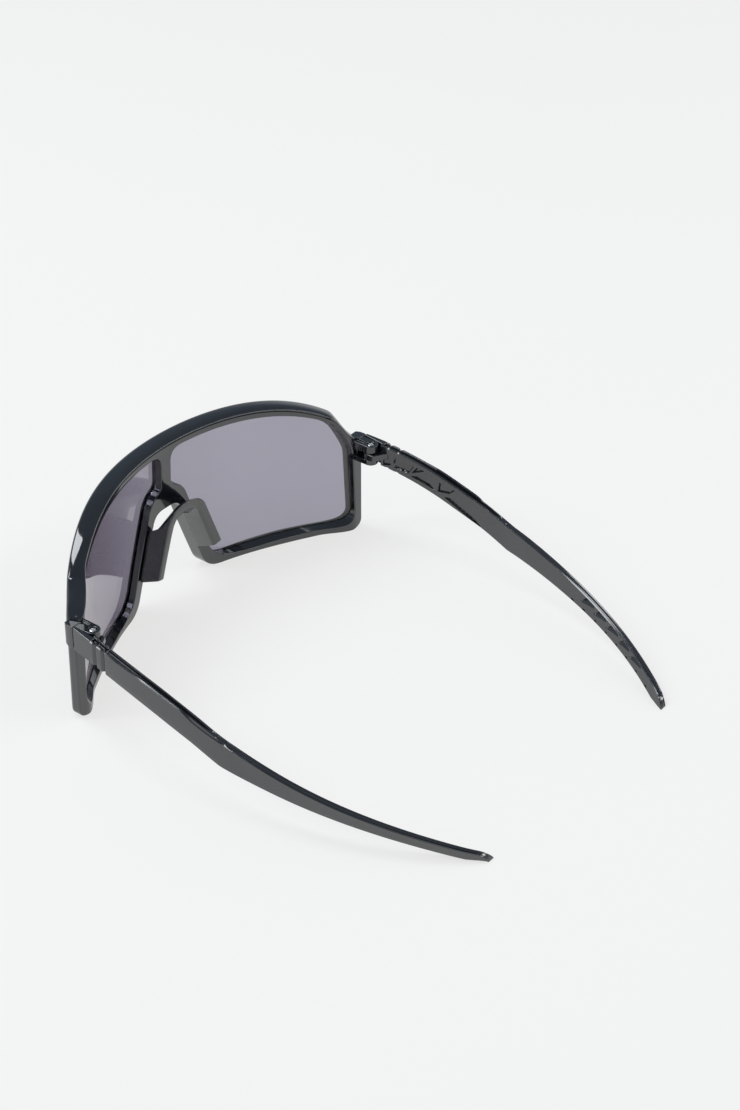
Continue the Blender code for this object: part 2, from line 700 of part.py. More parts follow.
def pocket_cutter(name, side, material):
    """The shallow pockets of the temple's inner face, as one cutter."""
    vertices = []
    faces = []
    for outline_shares in POCKET_SHARES:
        places = []
        for along, up in outline_shares:
            y = along * ARM_KNEE_Y
            places.append((y, arm_top(y) - arm_height(y) * (1 - up)))
        surface = [arm_outer(y) - arm_thickness(y) for y, z in places]
        depths = (min(surface) - CUT_OVERRUN, max(surface) + POCKET_DEPTH)
        rings = [[Vector((side * x, y, z)) for y, z in places] for x in depths]
        pocket_vertices, pocket_faces = loft(rings, False, True)
        base = len(vertices)
        vertices.extend(pocket_vertices)
        faces.extend(tuple(base + index for index in face) for face in pocket_faces)
    return new_mesh_object(name, vertices, faces, material)


def make_temple(side, material):
    """One temple with its middle knuckle."""
    upper, middle, lower = hinge_levels()
    name = "temple_left" if side > 0 else "temple_right"
    rings = [arm_section(y, side) for y in arm_stations()]
    vertices, faces = loft(rings, False, True)
    arm = new_mesh_object(name, vertices, faces, material)
    inner_x = HINGE_HALF_SPACING + KNUCKLE_RADIUS + SEAT_GAP
    start = KNUCKLE_RADIUS + SEAT_GAP
    cheek_rings = []
    for y in (-ARM_FRONT, 0, start + CUT_OVERRUN):
        top = arm_top(y)
        bottom = top - arm_height(y)
        outer = arm_outer(y)
        cheek_rings.append([Vector((side * x, y, z)) for x, z in
                            ((outer, bottom), (outer, top), (inner_x, top), (inner_x, bottom))])
    cheek_vertices, cheek_faces = loft(cheek_rings, False, True)
    cheek = new_mesh_object(name + "_cheek", cheek_vertices, cheek_faces, material)
    modified(arm, cheek, "UNION")
    knuckle_plan = []
    for step in range(ROUND_SIDES // 2 + 1):
        angle = math.pi + math.pi * step / (ROUND_SIDES // 2)
        knuckle_plan.append((HINGE_HALF_SPACING + KNUCKLE_RADIUS * math.cos(angle),
                             KNUCKLE_RADIUS * math.sin(angle)))
    knuckle_plan.append((arm_outer(0) - ARM_THICK_FRONT / 2, start + ARM_THICK_FRONT))
    knuckle_plan.append((HINGE_HALF_SPACING - KNUCKLE_RADIUS, start))
    knuckle = prism(name + "_knuckle", mirrored_plan(knuckle_plan, side), middle[0], middle[1],
                    material)
    modified(arm, knuckle, "UNION")
    axis = Vector((side * HINGE_HALF_SPACING, 0, 0))
    bore_radius = SCREW_SHANK_RADIUS + BORE_GAP
    bore = turned(name + "_bore", [(bore_radius, middle[0] - CUT_OVERRUN),
                                   (bore_radius, middle[1] + CUT_OVERRUN)], axis, material)
    modified(arm, bore, "DIFFERENCE")
    modified(arm, pocket_cutter(name + "_pockets", side, material), "DIFFERENCE")
    arm.data.transform(Matrix.Translation(-axis))
    arm.location = axis


def make_screw(side, material):
    """One hinge screw with a cross recess, entered from above."""
    upper, middle, lower = hinge_levels()
    name = "hinge_screw_left" if side > 0 else "hinge_screw_right"
    head_top = upper[1] - SCREW_HEAD_RECESS
    head_bottom = head_top - SCREW_HEAD_HEIGHT
    foot = lower[0] + SEAT_GAP
    axis = Vector((side * HINGE_HALF_SPACING, 0, 0))
    profile = [(SCREW_SHANK_RADIUS * SCREW_TIP_SHARE, foot),
               (SCREW_SHANK_RADIUS, foot + SCREW_SHANK_RADIUS * (1 - SCREW_TIP_SHARE)),
               (SCREW_SHANK_RADIUS, head_bottom), (SCREW_HEAD_RADIUS, head_bottom),
               (SCREW_HEAD_RADIUS, head_top - SCREW_HEAD_HEIGHT / 3),
               (SCREW_HEAD_RADIUS * SCREW_DOME_SHARE, head_top)]
    screw = turned(name, profile, axis, material)
    for label, length, width in (("long", SCREW_CROSS_LENGTH, SCREW_CROSS_WIDTH),
                                 ("cross", SCREW_CROSS_WIDTH, SCREW_CROSS_LENGTH)):
        plan = [(axis.x - length / 2, -width / 2), (axis.x + length / 2, -width / 2),
                (axis.x + length / 2, width / 2), (axis.x - length / 2, width / 2)]
        slot = prism(f"{name}_{label}", plan, head_top - SCREW_CROSS_DEPTH, head_top + CUT_OVERRUN,
                     material)
        modified(screw, slot, "DIFFERENCE")
    return screw


def make_insert(side, material):
    """The threaded insert in the lower knuckle."""
    upper, middle, lower = hinge_levels()
    name = "hinge_insert_left" if side > 0 else "hinge_insert_right"
    axis = Vector((side * HINGE_HALF_SPACING, 0, 0))
    bottom = lower[0]
    top = lower[1] - 2 * SEAT_GAP
    insert = turned(name, [(INSERT_RADIUS, bottom), (INSERT_RADIUS, top)], axis, material)
    bore_radius = SCREW_SHANK_RADIUS + BORE_GAP
    bore = turned(name + "_bore", [(bore_radius, bottom - CUT_OVERRUN),
                                   (bore_radius, top + CUT_OVERRUN)], axis, material)
    modified(insert, bore, "DIFFERENCE")
    return insert


def nose_edge(z):
    """Half width of the front's nose edge at a height."""
    share = z / BRIDGE_HEIGHT
    return NOSE_CORNER_X + (BRIDGE_CORNER_X - NOSE_CORNER_X) * share


def nose_stations():
    """The nose piece's stations from one pad's foot over the strap to the other's, as real lengths."""
    half = []
    for height, width, setback, rear_width, rise, lean, thickness in NOSE_STATIONS:
        z = BRIDGE_HEIGHT * height
        half.append((nose_edge(z) * width, z, NOSE_REACH * setback, nose_edge(z) * rear_width, rise,
                     math.radians(lean), thickness))
    other = []
    for x, z, setback, rear_x, rise, lean, thickness in reversed(half[:-1]):
        other.append((-x, z, setback, -rear_x, rise, math.pi - lean, thickness))
    return half + other


def between(stations, place):
    """The numbers at a place on the smooth curve through all stations."""
    index = min(int(place), len(stations) - 2)
    share = place - index
    nearby = [stations[min(max(near, 0), len(stations) - 1)] for near in range(index - 1, index + 3)]
    values = []
    for before, start, end, after in zip(*nearby):
        bend = 2 * before - 5 * start + 4 * end - after
        twist = 3 * (start - end) + after - before
        values.append(start + ((end - before) * share + bend * share ** 2 + twist * share ** 3) / 2)
    return values


def nose_ring(x, z, setback, rear_x, rise, lean, thickness):
    """The nose piece's section at one station, its front end set on the rear face of the front."""
    ring = []
    for along, across in NOSE_SECTION_SHARES:
        aside = x + thickness * across * math.cos(lean)
        height = z + thickness * across * math.sin(lean)
        seat = rear_face(abs(aside), height) + SEAT_GAP + setback
        ring.append(Vector((aside + (rear_x - x) * along, seat + (NOSE_REACH - setback) * along,
                            height + rise * along)))
    return ring


def make_nose_piece(material):
    """Two pads and the strap that joins them, as one soft moulding."""
    stations = nose_stations()
    rings = []
    for step in range((len(stations) - 1) * NOSE_STEPS + 1):
        rings.append(nose_ring(*between(stations, step / NOSE_STEPS)))
    vertices, faces = loft(rings, False, True)
    new_mesh_object("nose_piece", vertices, faces, material)


def depth_shift():
    """How far the model moves along Y so that the origin is under the middle of its box."""
    brow_front = rear_face(0, BROW_HEIGHT) - BROW_DEPTH
    bridge_front = rear_face(0, BRIDGE_HEIGHT) - RIM_DEPTH
    return -(min(brow_front, bridge_front) + ARM_LENGTH) / 2


def build():
    for old in list(bpy.data.objects):
        bpy.data.objects.remove(old, do_unlink=True)
    gloss = plastic("gloss_slate_plastic", (0.030, 0.034, 0.042), 0.12)
    tint = plastic("smoke_lens", (0.16, 0.14, 0.18), 0.03, transmission=0.9)
    rubber = plastic("soft_rubber", (0.035, 0.037, 0.040), 0.55)
    steel = plastic("screw_steel", (0.60, 0.60, 0.60), 0.25, metallic=1.0)
    brass = plastic("insert_brass", (0.66, 0.50, 0.25), 0.30, metallic=1.0)
    front = make_front_rim(gloss)
    for side in (1, -1):
        add_front_hinge(front, side, gloss)
        make_lens(side, tint)
        make_temple(side, gloss)
        make_screw(side, steel)
        make_insert(side, brass)
    make_nose_piece(rubber)
    shift = Vector((0, depth_shift(), 0))
    for piece in bpy.data.objects:
        piece.location += shift


build()
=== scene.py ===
"""Looks of the racer sunglasses: finely shaped pieces, materials, lights and camera.

The pieces are drawn in the hinge frame: X across, Y back from the hinge axis, Z up from the floor.
FRAME_SHIFT then moves them to the frame of the CAD model. Lengths are metres.
"""
import math

import bmesh
import bpy
from mathutils import Matrix, Vector


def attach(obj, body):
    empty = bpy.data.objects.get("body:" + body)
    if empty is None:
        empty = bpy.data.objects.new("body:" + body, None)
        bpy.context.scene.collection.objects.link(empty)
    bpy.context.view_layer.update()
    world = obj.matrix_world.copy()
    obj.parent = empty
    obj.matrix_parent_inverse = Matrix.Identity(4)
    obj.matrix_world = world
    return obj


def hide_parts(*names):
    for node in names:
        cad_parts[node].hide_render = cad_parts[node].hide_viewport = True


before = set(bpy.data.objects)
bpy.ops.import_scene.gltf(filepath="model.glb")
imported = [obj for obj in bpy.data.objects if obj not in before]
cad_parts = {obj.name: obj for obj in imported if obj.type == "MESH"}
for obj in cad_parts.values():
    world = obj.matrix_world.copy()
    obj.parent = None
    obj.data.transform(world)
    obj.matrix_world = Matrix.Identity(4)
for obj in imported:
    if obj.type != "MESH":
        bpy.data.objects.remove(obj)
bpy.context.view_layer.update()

# From the hinge frame to the frame of the CAD model
FRAME_SHIFT = Vector((0, -0.045575, 0))

# Camera
CAMERA_PLACE = Vector((0.4844, 0.38322, 0.4573))
CAMERA_AZIMUTH = 128.01
CAMERA_ELEVATION = 33.77
CAMERA_LENS = 82.67
CAMERA_SENSOR = 36.0
CAMERA_CLIP = 0.01

# Floor. The glow's share of its look is even paper, the rest takes light and shadow.
FLOOR_HALF_SIDE = 4.0
FLOOR_GLOW_SHARE = 0.75
FLOOR_LOW = (0.904, 0.897, 0.887)
FLOOR_HIGH = (0.914, 0.907, 0.897)
FLOOR_ROUGHNESS = 0.9
FLOOR_NOISE_SCALE = 4.0
FLOOR_NOISE_DETAIL = 2.0
FLOOR_NOISE_CONTRAST = 0.3

# Colours of the sky, as (share of the way from the horizon to overhead, colour)
SKY_STOPS = (
    (0.0, (1.0, 1.0, 1.0)),
    (0.18, (0.85, 0.88, 0.92)),
    (0.50, (0.22, 0.27, 0.33)),
    (1.0, (0.16, 0.19, 0.23)),
)

# Studio lights: name, direction from the object, direction of the width, distance, width, height,
# power and colour
COOL_LIGHT = (0.94, 0.97, 1.0)
WARM_LIGHT = (1.0, 0.99, 0.97)
SOFTBOXES = (
    ("key_left", (0.05, -0.51, 0.86), (1, 0.1, 0), 1.2, 0.36, 0.70, 5.0, COOL_LIGHT),
    ("key_right", (0.50, -0.51, 0.70), (1, 1, 0), 1.2, 0.24, 0.70, 3.4, COOL_LIGHT),
    ("strip_side", (0.67, -0.16, 0.72), (-0.2, 1, 0), 1.2, 0.50, 0.14, 1.5, COOL_LIGHT),
    ("strip_far", (-0.541, 0.565, 0.622), (0.877, 0.333, 0.471), 1.1, 1.50, 0.22, 5.2, WARM_LIGHT),
)

# Outline of one half of the front
FRONT_HALF_WIDTH = 0.0668
BROW_HEIGHT = 0.0539
NOSE_CORNER_X = 0.0166
BRIDGE_CORNER_X = 0.0052
BRIDGE_HEIGHT = BROW_HEIGHT * 0.575
# Reach of the outlines' roundings before and after each corner
OUTER_ROUNDS = ((0.0075, 0.0045), (0.0085, 0.0026), (0.0052, 0.0052), (0.0052, 0.0052),
                (0.0032, 0.0032), (0.0018, 0.0075))
INNER_ROUNDS = ((0.0045, 0.0045), (0.0080, 0.0080), (0.0075, 0.0075), (0.0070, 0.0070),
                (0.0038, 0.0038), (0.0018, 0.0018))
# Corners of the outer outline on the middle plane, which stay unrounded
OUTER_SHARP = (0, 5)
# Normals of the stations on the middle plane: between the rims, at the brow and at the bridge
MIDDLE_NORMALS = {"open": (0, 0), "top": (0, 1), "bridge": (0, -1)}

# Wrap of the front
WRAP_HALF_WIDTH = FRONT_HALF_WIDTH + 0.0032
BROW_DROP = BROW_HEIGHT - 0.0313
BROW_BOW_SHARE = 0.97
BROW_END_DROP = 0.0034
BROW_END_START_X = 0.0575
BROW_END_REACH = 0.0050
CENTRE_DEPTH_TOP = 0.0287
CENTRE_DEPTH_BOTTOM = 0.0307
END_DEPTH_TOP = 0.0024
END_DEPTH_BOTTOM = 0.0032
BOW_TOP_SHARE = 0.18
BOW_BOTTOM_SHARE = 0.34

# Aperture of one lens
BAR_HALF_WIDTH = 0.0022
TOP_BAND = 0.0027
APERTURE_END_X_TOP = FRONT_HALF_WIDTH - 0.0044
APERTURE_END_X_BOTTOM = FRONT_HALF_WIDTH - 0.0031
APERTURE_END_FLOOR = 0.0030
APERTURE_NOSE_X = NOSE_CORNER_X + 0.0030
APERTURE_NOSE_FLOOR = 0.0023
APERTURE_SHOULDER_X = BRIDGE_CORNER_X + 0.0022
APERTURE_SHOULDER_Z = BROW_HEIGHT * 0.672
APERTURE_BAR_Z = BROW_HEIGHT * 0.720

# Section of the rim
RIM_DEPTH = 0.0056
RIM_DEPTH_END = 0.0043
RIM_EASE_X = 0.0400
BROW_DEPTH = 0.0062
BROW_DEPTH_END = 0.0036
BROW_CROWN = 0.0007
INNER_REAR_ROUND = 0.00035
OUTER_REAR_ROUND = 0.00025
OUTER_FRONT_ROUND = 0.0010
LIP_ROUND_SHARE = 0.85
BROW_GROOVE_NEAR = 0.00050
BROW_GROOVE_FAR = 0.00075
BROW_GROOVE_DEPTH = 0.00035
BROW_GROOVE_SLOPE = 0.00006
LENS_SEAT_DEPTH = 0.0026
LENS_SEAT_DEPTH_END = 0.0010
LENS_THICKNESS = 0.0018
LENS_BITE = 0.0007
LENS_LIP = 0.0009
LENS_LIP_END = 0.0004
SEAT_GAP = 0.0003
# Places of the points between two roundings of a section, and up the rim's outer wall
BETWEEN_SHARES = (0.25, 0.5, 0.75)
OUTER_WALL_SHARES = (0.15, 0.35, 0.6, 0.85)

# Rear wall of the lower rim, which flares away from the lens
LOWER_FLARE = 0.0013
LOWER_FLARE_START_X = 0.0200
LOWER_FLARE_REACH = 0.0140

# Flat rear facet at each end of the front
END_FACET_Y = -0.0055
END_FACET_START_X = 0.0530
END_FACET_FULL_X = 0.0629

# Hinge
TONGUE_ANCHOR_DEPTH = 0.0013
HINGE_HALF_SPACING = FRONT_HALF_WIDTH - 0.0021
KNUCKLE_RADIUS = 0.0023
HINGE_TOP = 0.0342
UPPER_KNUCKLE = 0.0026
MIDDLE_KNUCKLE = 0.0019
LOWER_KNUCKLE = 0.0018
KNUCKLE_GAP = 0.0003
SCREW_SHANK_RADIUS = 0.00065
SCREW_HEAD_RADIUS = 0.00110
SCREW_HEAD_HEIGHT = 0.0007
SCREW_HEAD_RECESS = 0.0002
SCREW_TIP_SHARE = 0.6
# The head's dome, as shares (of the head's radius, of its height below the top)
SCREW_DOME_SHARES = ((1.0, 0.45), (0.96, 0.25), (0.85, 0.10), (0.65, 0.02), (0.40, 0.0))
SCREW_EDGE_ROUND = 0.00004
SCREW_CROSS_WIDTH = 0.00028
SCREW_CROSS_LENGTH = 0.0013
SCREW_CROSS_DEPTH = 0.00035
TONGUE_SLOT_START = 0.0022
TONGUE_SLOT_END = 0.0058
TONGUE_SLOT_WIDTH = 0.0014
TONGUE_SLOT_OFFSET = 0.0001
TONGUE_SLOT_DEPTH = 0.0006
END_BLOCK_OUTSET = 0.0014
END_BLOCK_DEPTH = 0.0030
END_BLOCK_INSET = 0.0014
END_BLOCK_MARGIN = 0.0003
HINGE_EDGE_ROUND = 0.00022

# Temple
ARM_LENGTH = 0.1263
ARM_FRONT = 0.0045
ARM_START = KNUCKLE_RADIUS + SEAT_GAP
ARM_OUTERMOST_X = HINGE_HALF_SPACING + 0.0062
ARM_OUTERMOST_Y = 0.0280
ARM_FRONT_TUCK = 0.0019
ARM_CURL = 0.0261
ARM_CURL_POWER = 2.6
ARM_TOP_LINE = 0.0366
ARM_TIP_TOP = 0.0021
ARM_LEVEL_Y = 0.0300
ARM_LEVEL_DROP = 0.0024
ARM_HEIGHT_FRONT = 0.0077
ARM_HEIGHT_KNEE = 0.0088
ARM_KNEE_Y = 0.0516
ARM_TAPER_POWER = 1.8
ARM_DIP = 0.0009
ARM_DIP_Y = 0.0400
ARM_DIP_REACH = 0.0140
ARM_DIP_END_Y = 0.0700
ARM_DIP_FADE = 0.0450
ARM_SLANT_Y = 0.0560
ARM_TIP_SLANT = 0.39
ARM_TIP_HEIGHT = 0.0036
ARM_THICK_FRONT = 0.0029
ARM_THICK_REAR = 0.0024
ARM_EDGE = 0.0003
ARM_EDGE_SHARE = 0.2
ARM_LIP_SHARE = 0.7
CHEEK_OVERLAP = 0.0006
CHANNEL_DEPTH = 0.0009
CHANNEL_END_Y = ARM_KNEE_Y - 0.0076
GROOVE_PLACES = (0.0050, 0.0086)
GROOVE_HALF_WIDTH = 0.0008
GROOVE_DEPTH = 0.0006
GROOVE_TOP_SHARE = 0.25
GROOVE_BOTTOM_SHARE = 0.5
PLATE_RISE = 0.0004
PLATE_RISE_Y = 0.0150
PLATE_RISE_REACH = 0.0110
SHOULDER_DROP = 0.0007
SHOULDER_Y = 0.0375
SHOULDER_REACH = 0.0055
SHOULDER_FADE = 0.0150
TIP_ROUND = 0.0030
TIP_CLOSE_SHARE = 0.20
PLATE_SHARE = 0.28
CHANNEL_SLOPE_SHARE = 0.06
CHANNEL_SHARE = 0.40
POCKET_DEPTH = 0.0007
POCKET_SLOPE = 0.00018
GRIP_FIRST_Y = 0.0835
GRIP_SPACING = 0.0060
GRIP_COUNT = 5
GRIP_LENGTH = 0.0058
GRIP_HEIGHT_SHARE = 0.50
GRIP_RISE_SHARE = 0.4
GRIP_CLOSE_SHARE = 0.7
GRIP_MARGIN = 0.0005
GRIP_SLOPE = 0.75
NOTCH_FIRST_Y = 0.0800
NOTCH_SPACING = 0.0053
NOTCH_COUNT = 8
NOTCH_HALF_WIDTH = 0.0004
NOTCH_HEIGHT = 0.0008
NOTCH_DEPTH = 0.0005
# Pockets of the inner face, as (distance behind the hinge axis, height)
POCKETS = (
    ((0.0033, 0.0268), (0.0033, 0.0315), (0.0048, 0.0315), (0.0062, 0.0276)),
    ((0.0077, 0.0272), (0.0074, 0.0311), (0.0148, 0.0298), (0.0129, 0.0267)),
    ((0.0142, 0.0260), (0.0192, 0.0272), (0.0231, 0.0242)),
    ((0.0144, 0.0274), (0.0163, 0.0298), (0.0188, 0.0295)),
    ((0.0245, 0.0241), (0.0250, 0.0274), (0.0309, 0.0268), (0.0287, 0.0249)),
    ((0.0270, 0.0229), (0.0324, 0.0240), (0.0423, 0.0165)),
)

# Nose piece, two pads joined by a strap that arches behind the bridge. Its stations run from a pad's
# foot up to the middle: height as a share of the bridge's height, half width of the nose side as a
# share of the nose edge's, set-back as a share of the reach, the half width's share at the rear, the
# rise towards the rear, the lean of the thickness in degrees, and the thickness.
NOSE_REACH = 0.0079
NOSE_STATIONS = (
    (0.335, 0.955, 0.00, 0.923, 0.0035, 20, 0.0034),
    (0.568, 0.938, 0.00, 0.888, 0.0039, 20, 0.0034),
    (0.819, 0.923, 0.00, 0.840, 0.0037, 22, 0.0034),
    (0.877, 0.894, 0.40, 0.773, 0.0038, 34, 0.0036),
    (0.945, 0.686, 0.60, 0.583, 0.0032, 58, 0.0036),
    (1.000, 0.000, 0.65, 0.000, 0.0020, 90, 0.0035),
)
NOSE_EDGE_ROUND = 0.0011
NOSE_SEAT_ROUND = 0.0004
NOSE_FOOT_ROUND = 0.0009

# Counts
EDGE_STEPS = (64, 20, 48, 24, 10, 14)
CORNER_STEPS = 10
ARC_STEPS = 4
ROUND_SIDES = 48
LENS_STEPS = 14
ARM_INNER_STEPS = 44
CHEEK_STEPS = 8
TIP_STEPS = 12
NOSE_STEPS = 14
NOSE_FOOT_STEPS = 6
NOSE_ROUND_STEPS = 6

# Mesh finish
ARM_FRONT_STEP = 0.00022
ARM_REAR_STEP = 0.00035
MERGE_DISTANCE = 0.000001
SHARP_DEGREES = 30
FRONT_SHARP_DEGREES = 40
ARM_SHARP_DEGREES = 35
NOSE_SHARP_DEGREES = 60

# Looks of the slots: material name, two colours, least and most roughness, scale of their noise,
# relief as (scale, height in metres, strength), metallic and IOR
LOOKS = {
    "frame_gloss": ("gloss_slate", (0.005, 0.006, 0.008), (0.008, 0.010, 0.013), (0.04, 0.08), 120,
                    (500, 0.00003, 0.05), 0.0, 1.85),
    "temple_gloss": ("gloss_slate_temple", (0.008, 0.009, 0.011), (0.013, 0.014, 0.017),
                     (0.09, 0.15), 140, (700, 0.00003, 0.06), 0.0, 1.85),
    "nose_rubber": ("soft_rubber", (0.007, 0.008, 0.009), (0.011, 0.012, 0.013), (0.26, 0.34), 200,
                    (2500, 0.00003, 0.15), 0.0, 1.9),
    "screw_steel": ("screw_steel", (0.62, 0.62, 0.61), (0.74, 0.74, 0.73), (0.18, 0.30), 900,
                    (6000, 0.00001, 0.2), 1.0, 1.5),
    "insert_brass": ("insert_brass", (0.60, 0.44, 0.20), (0.74, 0.56, 0.28), (0.20, 0.34), 900,
                     (5000, 0.00001, 0.2), 1.0, 1.5),
    "lens_smoke": ("smoke_tint", (0.325, 0.315, 0.38), (0.335, 0.325, 0.39), (0.01, 0.03), 40,
                   (90, 0.00002, 0.05), 0.0, 1.7),
}
NOISE_CONTRAST = 0.2
ROUGHNESS_NOISE_RATIO = 2.3
COLOR_DETAIL = 3.0
ROUGHNESS_DETAIL = 4.0
RELIEF_DETAIL = 2.0
# Tint of the lenses where they are looked through at a slant, and the span in which it comes in
LENS_SLANTED_TINT = (0.150, 0.115, 0.165)
LENS_SLANT_SPAN = (0.25, 0.70)


def clamped(share):
    """A share kept between 0 and 1."""
    return min(max(share, 0.0), 1.0)


def smoothstep(share):
    """Ease from 0 to 1 as share goes from 0 to 1."""
    share = clamped(share)
    return share * share * (3.0 - 2.0 * share)


def brow_height(x):
    """Height of the rear top edge of the front."""
    share = (x / WRAP_HALF_WIDTH) ** 2
    bow = (1 - BROW_BOW_SHARE) * share + BROW_BOW_SHARE * share ** 2
    end = smoothstep((x - BROW_END_START_X) / BROW_END_REACH)
    return BROW_HEIGHT - BROW_DROP * bow - BROW_END_DROP * end


def wrap_depth(x, centre, end, bow):
    """Place along Y of the rear face at half width x, for one horizontal curve of the wrap."""
    share = (x / WRAP_HALF_WIDTH) ** 2
    return -centre + (centre - end) * ((1 + bow) * share - bow * share ** 2)


def rear_face(x, z):
    """Place along Y of the rear face of the front."""
    top = wrap_depth(x, CENTRE_DEPTH_TOP, END_DEPTH_TOP, BOW_TOP_SHARE)
    bottom = wrap_depth(x, CENTRE_DEPTH_BOTTOM, END_DEPTH_BOTTOM, BOW_BOTTOM_SHARE)
    return bottom + (top - bottom) * z / brow_height(x)


def end_step(x, z):
    """How far the flat facet at the front's end stands behind the wrapped rear face."""
    across = (x - END_FACET_START_X) / (END_FACET_FULL_X - END_FACET_START_X)
    return clamped(across) ** 2 * (END_FACET_Y - rear_face(x, z))


def eased_out(middle, end, x):
    """A measure that runs from its value in the middle of the front to the one at the end."""
    return middle + (end - middle) * smoothstep((x - RIM_EASE_X) / (FRONT_HALF_WIDTH - RIM_EASE_X))


def lens_seat(x):
    """Depth of the lens's rear surface ahead of the wrapped rear face."""
    return eased_out(LENS_SEAT_DEPTH, LENS_SEAT_DEPTH_END, x)


def lower_flare(x, away):
    """How far the rim's rear edge stands off the lens. away is the way from the lens to the rim."""
    return LOWER_FLARE * max(0.0, -away.y) ** 2 * smoothstep((x - LOWER_FLARE_START_X) / LOWER_FLARE_REACH)


def unrolled(x, z):
    """Stretch a height so that the brow's edge becomes a level line."""
    return Vector((x, z * BROW_HEIGHT / brow_height(x)))


def rolled(point):
    """Undo unrolled."""
    return Vector((point.x, point.y * brow_height(point.x) / BROW_HEIGHT))


def brow_slope(x):
    """Slope of the brow's rear edge in plan."""
    share = (x / WRAP_HALF_WIDTH) ** 2
    bend = (1 + BOW_TOP_SHARE) - 2 * BOW_TOP_SHARE * share
    return 2 * x * (CENTRE_DEPTH_TOP - END_DEPTH_TOP) * bend / WRAP_HALF_WIDTH ** 2


def wrapped(x, z, depth, turn=0.0):
    """A point of the front from its front view and its depth ahead of the rear face.

    turn swings the way ahead from straight forward (0) to square with the brow in plan (1).
    """
    slope = turn * brow_slope(x)
    reach = depth / math.hypot(1, slope)
    return Vector((x + slope * reach, rear_face(x, z) - reach, z))


def outline(corners, sharp):
    """Points along a closed outline of (point, reaches) corners. sharp lists the unrounded ones."""
    count = len(corners)
    starts = []
    ends = []
    for index, (point, reach) in enumerate(corners):
        before = (corners[index - 1][0] - point).normalized()
        after = (corners[(index + 1) % count][0] - point).normalized()
        starts.append(point + before * reach[0])
        ends.append(point + after * reach[1])
    points = []
    for index, (point, reach) in enumerate(corners):
        for step in range(CORNER_STEPS + 1):
            share = step / CORNER_STEPS
            if index in sharp and share <= 0.5:
                points.append(starts[index].lerp(point, 2 * share))
            elif index in sharp:
                points.append(point.lerp(ends[index], 2 * share - 1))
            else:
                first = starts[index].lerp(point, share)
                points.append(first.lerp(point.lerp(ends[index], share), share))
        following = starts[(index + 1) % count]
        for step in range(1, EDGE_STEPS[index]):
            points.append(ends[index].lerp(following, step / EDGE_STEPS[index]))
    return [rolled(point) for point in points]


def front_outlines():
    """Matching points on the aperture and on the outer edge of one half of the front."""
    band = BROW_HEIGHT - TOP_BAND
    inner = (Vector((BAR_HALF_WIDTH, band)), Vector((APERTURE_END_X_TOP, band)),
             unrolled(APERTURE_END_X_BOTTOM, APERTURE_END_FLOOR),
             unrolled(APERTURE_NOSE_X, APERTURE_NOSE_FLOOR),
             unrolled(APERTURE_SHOULDER_X, APERTURE_SHOULDER_Z),
             unrolled(BAR_HALF_WIDTH, APERTURE_BAR_Z))
    outer = (Vector((0, BROW_HEIGHT)), Vector((FRONT_HALF_WIDTH, BROW_HEIGHT)),
             Vector((FRONT_HALF_WIDTH, 0)), Vector((NOSE_CORNER_X, 0)),
             unrolled(BRIDGE_CORNER_X, BRIDGE_HEIGHT), unrolled(0, BRIDGE_HEIGHT))
    near = outline(list(zip(inner, INNER_ROUNDS)), ())
    return near, outline(list(zip(outer, OUTER_ROUNDS)), OUTER_SHARP)


def outward(points, index):
    """Unit normal of a clockwise outline at one point, away from its inside."""
    along = points[(index + 1) % len(points)] - points[index - 1]
    return Vector((-along.y, along.x)).normalized()


def station_kind():
    """For each station: 1 on the brow, 0 elsewhere, eased; and where it stands on the middle plane."""
    brow = []
    middle = []
    half = CORNER_STEPS // 2
    last = len(EDGE_STEPS) - 1
    for edge, steps in enumerate(EDGE_STEPS):
        for step in range(CORNER_STEPS + steps):
            if edge == 0:
                brow.append(1.0)
            elif edge == 1:
                brow.append(1 - smoothstep(step / CORNER_STEPS))
            else:
                brow.append(0.0)
            if (edge == 0 and step < half) or (edge == last and step > half):
                middle.append("open")
            elif edge == 0 and step == half:
                middle.append("top")
            elif edge == last and step == half:
                middle.append("bridge")
            else:
                middle.append("")
    return brow, middle


def arc(radius, start, turn):
    """Offsets of a round's points from its centre, from a start angle through a turn, in degrees."""
    places = []
    for step in range(ARC_STEPS + 1):
        angle = math.radians(start + turn * step / ARC_STEPS)
        places.append((radius * math.cos(angle), radius * math.sin(angle)))
    return places


